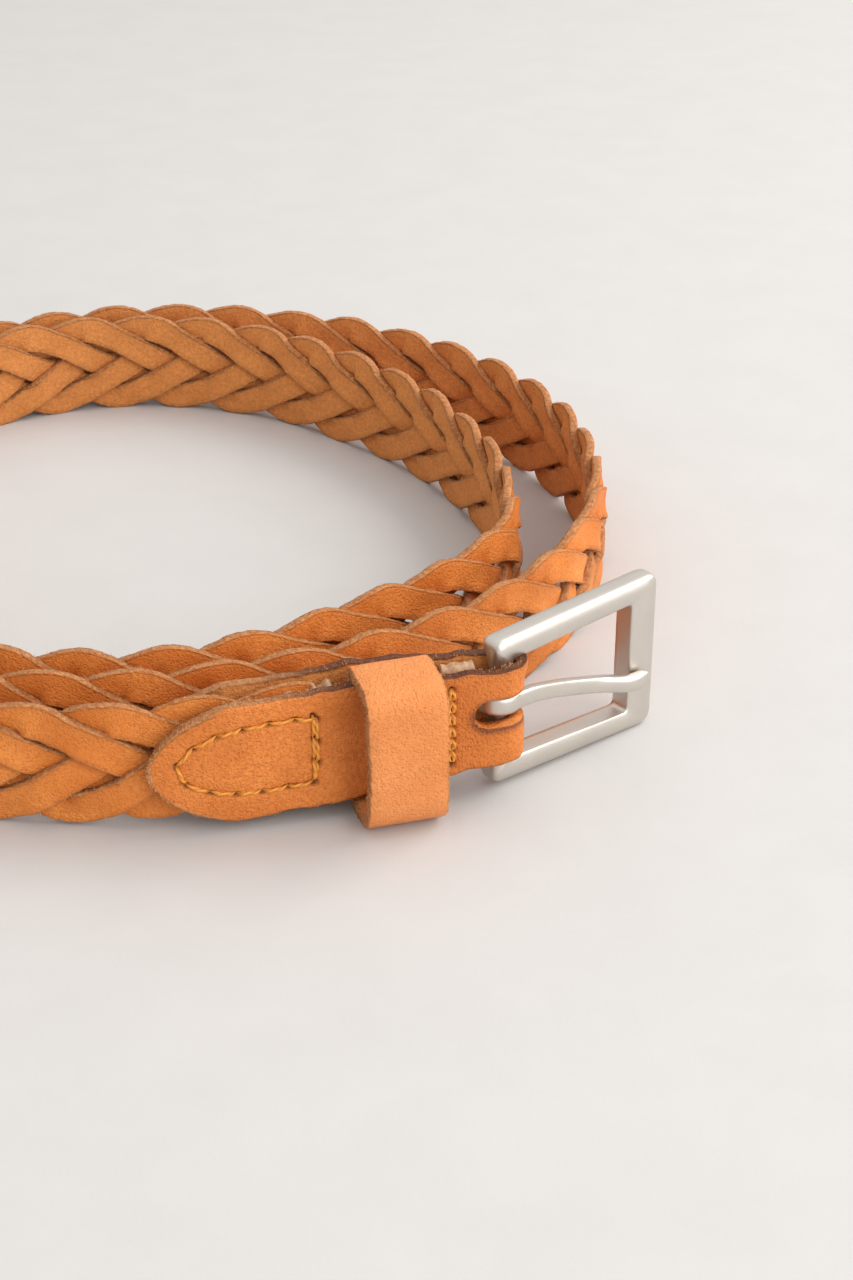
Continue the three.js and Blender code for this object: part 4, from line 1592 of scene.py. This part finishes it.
@dataclass
class Buckle:
    """A nickel frame with a round bar, and a prong that turns on it."""

    coil: Coil
    azimuth: float = 39.0
    drop: float = 0.55
    bar_end: float = -1.8
    far_end: float = 30.9
    half_heights: tuple[float, float] = (12.2, 13.2)
    arm_width: float = 3.7
    end_width: float = 5.5
    depth: float = 3.9
    bar_radius: float = 1.5
    prong_width: float = 3.0
    prong_thickness: float = 1.9
    eye_thickness: float = 1.5
    eye_radius: float = 2.75
    side_steps: int = 14
    section: tuple[tuple[float, float], ...] = (
        (1.0, -0.60), (1.0, -0.25), (1.0, 0.05), (0.995, 0.30), (0.98, 0.50), (0.95, 0.67), (0.89, 0.80),
        (0.79, 0.91), (0.66, 0.975), (0.50, 1.0), (0.34, 0.985), (0.20, 0.945), (0.09, 0.895), (0.035, 0.85),
        (0.005, 0.79), (0.0, 0.68), (0.0, 0.25), (0.0, -0.15), (0.0, -0.55), (0.0, -0.88), (0.03, -0.97),
        (0.10, -1.0), (0.35, -1.0), (0.60, -1.0), (0.84, -0.98), (0.95, -0.85))
    prong_lift: float = 2.0
    prong_line: tuple[tuple[float, float], ...] = (
        (5.0, 2.0), (9.0, 1.4), (16.0, 0.9), (20.4, 1.3), (24.2, 2.95), (28.0, 3.2))
    prong_droop: tuple[tuple[float, float], ...] = (
        (0.0, 0.0), (5.0, -0.4), (9.0, -1.5), (16.0, -3.6), (21.4, -4.9), (24.8, -5.3), (30.0, -5.0))

    def to_row(self, points: np.ndarray) -> np.ndarray:
        """Turns points measured from the bar into places.

        Args:
            points: Points as (along the frame, outward, up).

        Returns:
            The points in millimetres, on the ground plan and up.
        """
        angle = math.radians(self.azimuth)
        origin = self.coil.place(0.0, 0.0, self.coil.strap_middle - self.drop)
        along = np.array([math.cos(angle), math.sin(angle), 0.0])
        outward = np.array([math.sin(angle), -math.cos(angle), 0.0])
        up = np.array([0.0, 0.0, 1.0])
        return origin + points[..., 0:1] * along + points[..., 1:2] * outward + points[..., 2:3] * up

    def corner(
        self, inner: Pair, outer: Pair, rounds: Pair, ways: tuple[Pair, Pair]
    ) -> list[tuple[np.ndarray, np.ndarray]]:
        """Shapes one rounded corner of the frame.

        Args:
            inner: The window's corner.
            outer: The outside corner.
            rounds: The corner roundings of the window and of the outside.
            ways: The directions in which the outline comes in and goes out.

        Returns:
            Pairs of inner and outer points through the corner.
        """
        lines = []
        for point, reach in ((inner, rounds[0]), (outer, rounds[1])):
            before = np.array(point) - np.array(ways[0]) * reach
            after = np.array(point) + np.array(ways[1]) * reach
            lines.append(rounded_corner(before, np.array(point), after, 11))
        return list(zip(*lines))

    def frame_pairs(self) -> tuple[np.ndarray, np.ndarray, np.ndarray]:
        """Lays out the frame as inner and outer points.

        Returns:
            The inner points, the outer points, and how round each section is, from 0 to 1.
        """
        near, far = self.half_heights
        inside = self.far_end - self.end_width
        bar = self.bar_radius
        near_in = near - self.arm_width
        far_in = far - self.arm_width
        pairs = []
        roundness = []
        plan = [
            ((bar, -near_in), (self.bar_end, -near), (0.6, 1.6), ((0, -1), (1, 0))),
            ((inside, -far_in), (self.far_end, -far), (1.1, 2.4), ((1, 0), (0, 1))),
            ((inside, far_in), (self.far_end, far), (0.8, 2.0), ((0, 1), (-1, 0))),
            ((bar, near_in), (self.bar_end, near), (0.6, 1.6), ((-1, 0), (0, -1))),
        ]
        for i, (inner, outer, rounds, ways) in enumerate(plan):
            corner = self.corner(inner, outer, rounds, ways)
            pairs += corner
            roundness += [0.0] * len(corner)
            start = corner[-1]
            end = self.corner(*plan[(i + 1) % 4])[0]
            is_bar = i == 3
            for k in range(1, self.side_steps):
                t = k / self.side_steps
                low = start[0] * (1 - t) + end[0] * t
                high = start[1] * (1 - t) + end[1] * t
                ease = float(np.clip(min(t, 1 - t) * 9, 0.0, 1.0)) if is_bar else 0.0
                if is_bar:
                    high = np.array([high[0] * (1 - ease) - bar * ease, high[1]])
                roundness.append(ease)
                pairs.append((low, high))
        inner = np.array([p[0] for p in pairs])
        outer = np.array([p[1] for p in pairs])
        return inner, outer, np.array(roundness)

    def build_frame(self) -> bpy.types.Object:
        """Builds the frame with its bar, flat inside and rounded in front.

        Returns:
            The frame.
        """
        inner, outer, roundness = self.frame_pairs()
        section = np.array(self.section)
        spin = np.linspace(-0.25 * np.pi, 1.75 * np.pi, len(section), endpoint=False)
        r = roundness[:, None]
        share = section[:, 0][None, :] * (1 - r) + (0.5 + 0.5 * np.cos(spin))[None, :] * r
        bar_front = np.sin(spin)[None, :] * self.bar_radius * 2 / self.depth
        front = section[:, 1][None, :] * (1 - r) + bar_front * r
        plane = inner[:, None, :] * (1 - share[..., None]) + outer[:, None, :] * share[..., None]
        out = front * self.depth / 2
        points = np.stack([plane[..., 0], out, plane[..., 1]], -1)
        return Shell("frame_ring", self.to_row(points), closed=True).build()

    def build_prong(self) -> bpy.types.Object:
        """Builds the prong from its eye round the bar to its tip.

        Returns:
            The prong.
        """
        wrap = np.radians(np.linspace(-60.0, -298.0, 30))
        eye = np.stack([self.eye_radius * np.cos(wrap), self.eye_radius * np.sin(wrap)], 1)
        corners = np.concatenate([eye[-1:], np.array(self.prong_line)])
        lengths = along_path(corners)
        at = np.linspace(0.0, lengths[-1], 60)[1:]
        shank = np.stack([self.smooth(lengths, corners[:, k], at) for k in (0, 1)], 1)
        path = np.concatenate([eye, shank])
        step = np.gradient(path, axis=0)
        way = step / np.linalg.norm(step, axis=1, keepdims=True)
        normal = np.stack([-way[:, 1], way[:, 0]], 1)
        count = len(path)
        order = np.arange(count)
        on_shank = np.clip((order - 24) / 14.0, 0.0, 1.0)
        thick = self.eye_thickness + (self.prong_thickness - self.eye_thickness) * on_shank
        end = np.clip((count - 1 - order) / 5.0, 0.0, 1.0)
        close = np.sqrt(1 - (1 - end) ** 2)
        thick = thick * (0.35 + 0.65 * close)
        wide = self.prong_width * (0.45 + 0.55 * close) * (1 - 0.06 * on_shank)
        spin = np.linspace(0.0, 2 * np.pi, 24, endpoint=False)
        up = np.sign(np.cos(spin)) * np.abs(np.cos(spin)) ** 0.55
        face = np.sign(np.sin(spin)) * np.abs(np.sin(spin)) ** 0.75
        across = wide[:, None] / 2 * up[None, :]
        through = thick[:, None] / 2 * face[None, :]
        plane = path[:, None, :] + normal[:, None, :] * through[..., None]
        droop = np.array(self.prong_droop)
        sag = self.smooth(droop[:, 0], droop[:, 1], np.clip(path[:, 0], 0.0, 29.9))
        sag = np.where(order < len(eye), 0.0, sag)
        sagging = np.broadcast_to(sag[:, None] + self.prong_lift, across.shape)
        points = np.stack([plane[..., 0], plane[..., 1], across + sagging], -1)
        return Shell("prong", self.to_row(points)).build()

    def smooth(self, lengths: np.ndarray, values: np.ndarray, at: np.ndarray) -> np.ndarray:
        """Reads a smooth curve through given values.

        Args:
            lengths: Where the values are.
            values: The values.
            at: Where to read the curve.

        Returns:
            The curve's values.
        """
        slopes = np.gradient(values, lengths)
        i = np.clip(np.searchsorted(lengths, at, side="right") - 1, 0, len(lengths) - 2)
        span = lengths[i + 1] - lengths[i]
        ends = (values[i], values[i + 1])
        return curve_between(ends, (slopes[i], slopes[i + 1]), span, (at - lengths[i]) / span)

    def build(self, finisher: Finisher) -> None:
        """Builds the frame and the prong, and dresses them."""
        finisher.dress(self.build_frame(), Finish.METAL, "nickel", "frame", "buckle_frame")
        finisher.dress(self.build_prong(), Finish.METAL, "nickel", "prong", "buckle_prong")


# ---- Studio ----


@dataclass(frozen=True)
class Lamp:
    """A soft square lamp: where it stands and its side in metres, its power in watts and its colour."""

    name: str
    place: Place
    size: float
    power: float
    tint: Colour


@dataclass
class Studio:
    """The pale floor, the soft light and the camera."""

    coil: Coil
    camera_place: tuple[float, float, float] = (46.0, -347.0, 181.7)
    camera_tilt: float = 29.3
    camera_lens: float = 61.875
    floor_size: float = 4.0
    floor_tones: tuple[Colour, Colour] = ((0.555, 0.540, 0.528), (0.575, 0.560, 0.548))
    lamps: tuple[Lamp, ...] = (
        Lamp("key", (0.80, 0.30, 0.72), 0.8, 7.5, (1.0, 0.99, 0.97)),
        Lamp("fill", (0.72, -0.68, 0.46), 0.9, 7.0, (1.0, 0.99, 0.98)),
    )
    lamps_aim: Place = (0.0, 0.0, 0.01)
    low_sky: Colour = (0.66, 0.65, 0.635)
    high_sky: Colour = (1.0, 0.99, 0.975)
    sky_strength: float = 0.98

    def build_camera(self) -> None:
        """Makes the camera at the front, looking slightly down."""
        data = bpy.data.cameras.new("camera")
        data.lens = self.camera_lens
        data.sensor_width = 36.0
        data.clip_start = 0.01
        data.clip_end = 50.0
        camera = show("camera", data)
        x, y, z = self.camera_place
        camera.location = ((x + self.coil.centre[0]) * MM, (y + self.coil.centre[1]) * MM, z * MM)
        camera.rotation_euler = (math.radians(90.0 - self.camera_tilt), 0.0, 0.0)
        bpy.context.scene.camera = camera

    def build_floor(self) -> None:
        """Makes the pale floor."""
        n = Nodes("pale_paper")
        tone = n.ramp(n.noise(60.0, 5.0, 0.6), 0.3, 0.7)
        n.link(n.blend(tone, *self.floor_tones), n.shader.inputs["Base Color"])
        n.shader.inputs["Roughness"].default_value = 0.75
        n.shader.inputs["Specular IOR Level"].default_value = 0.2
        n.bump(n.noise(1400.0, 4.0, 0.7), 0.00003)
        mesh = bpy.data.meshes.new("floor")
        size = self.floor_size
        corners = [(-size, -size, 0.0), (size, -size, 0.0), (size, size, 0.0), (-size, size, 0.0)]
        mesh.from_pydata(corners, [], [(0, 1, 2, 3)])
        mesh.materials.append(n.material)
        show("floor", mesh)

    def build_lamp(self, lamp: Lamp) -> None:
        """Makes one soft lamp that faces the belt.

        Args:
            lamp: The lamp.
        """
        data = bpy.data.lights.new(lamp.name, "AREA")
        data.size = lamp.size
        data.energy = lamp.power
        data.color = lamp.tint
        shown = show(lamp.name, data)
        shown.location = lamp.place
        aim = Vector(self.lamps_aim) - Vector(lamp.place)
        shown.rotation_euler = aim.to_track_quat("-Z", "Y").to_euler()

    def build_sky(self) -> None:
        """Lights the studio all round, more from above than from the sides."""
        world = bpy.data.worlds.new("studio")
        world.use_nodes = True
        nodes = world.node_tree.nodes
        links = world.node_tree.links
        split = nodes.new("ShaderNodeSeparateXYZ")
        links.new(nodes.new("ShaderNodeTexCoord").outputs["Generated"], split.inputs[0])
        height = nodes.new("ShaderNodeMapRange")
        height.inputs["From Min"].default_value = 0.0
        height.inputs["From Max"].default_value = 0.9
        links.new(split.outputs["Z"], height.inputs["Value"])
        tone = nodes.new("ShaderNodeMix")
        tone.data_type = "RGBA"
        links.new(height.outputs["Result"], tone.inputs[0])
        tone.inputs[6].default_value = (*self.low_sky, 1.0)
        tone.inputs[7].default_value = (*self.high_sky, 1.0)
        background = nodes["Background"]
        links.new(tone.outputs[2], background.inputs["Color"])
        background.inputs["Strength"].default_value = self.sky_strength
        bpy.context.scene.world = world

    def build(self) -> None:
        """Builds the studio."""
        self.build_camera()
        self.build_floor()
        for lamp in self.lamps:
            self.build_lamp(lamp)
        self.build_sky()
        bpy.context.scene.view_settings.view_transform = "Standard"


def main(frame: dict) -> None:
    """Builds the studio and the belt, piece by piece.

    Args:
        frame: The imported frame.
    """
    coil = Coil(joint_place(frame, "buckle_swing"))
    finisher = Finisher()
    Studio(coil).build()
    Braid(coil).build(finisher)
    BuckleTab(coil).build(finisher)
    Tip(coil).build(finisher)
    KeeperLoop(coil).build(finisher)
    Buckle(coil).build(finisher)


if __name__ == "__main__":
    logging.basicConfig(level=logging.INFO, format="%(name)s: %(message)s")
    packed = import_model()
    main(packed)
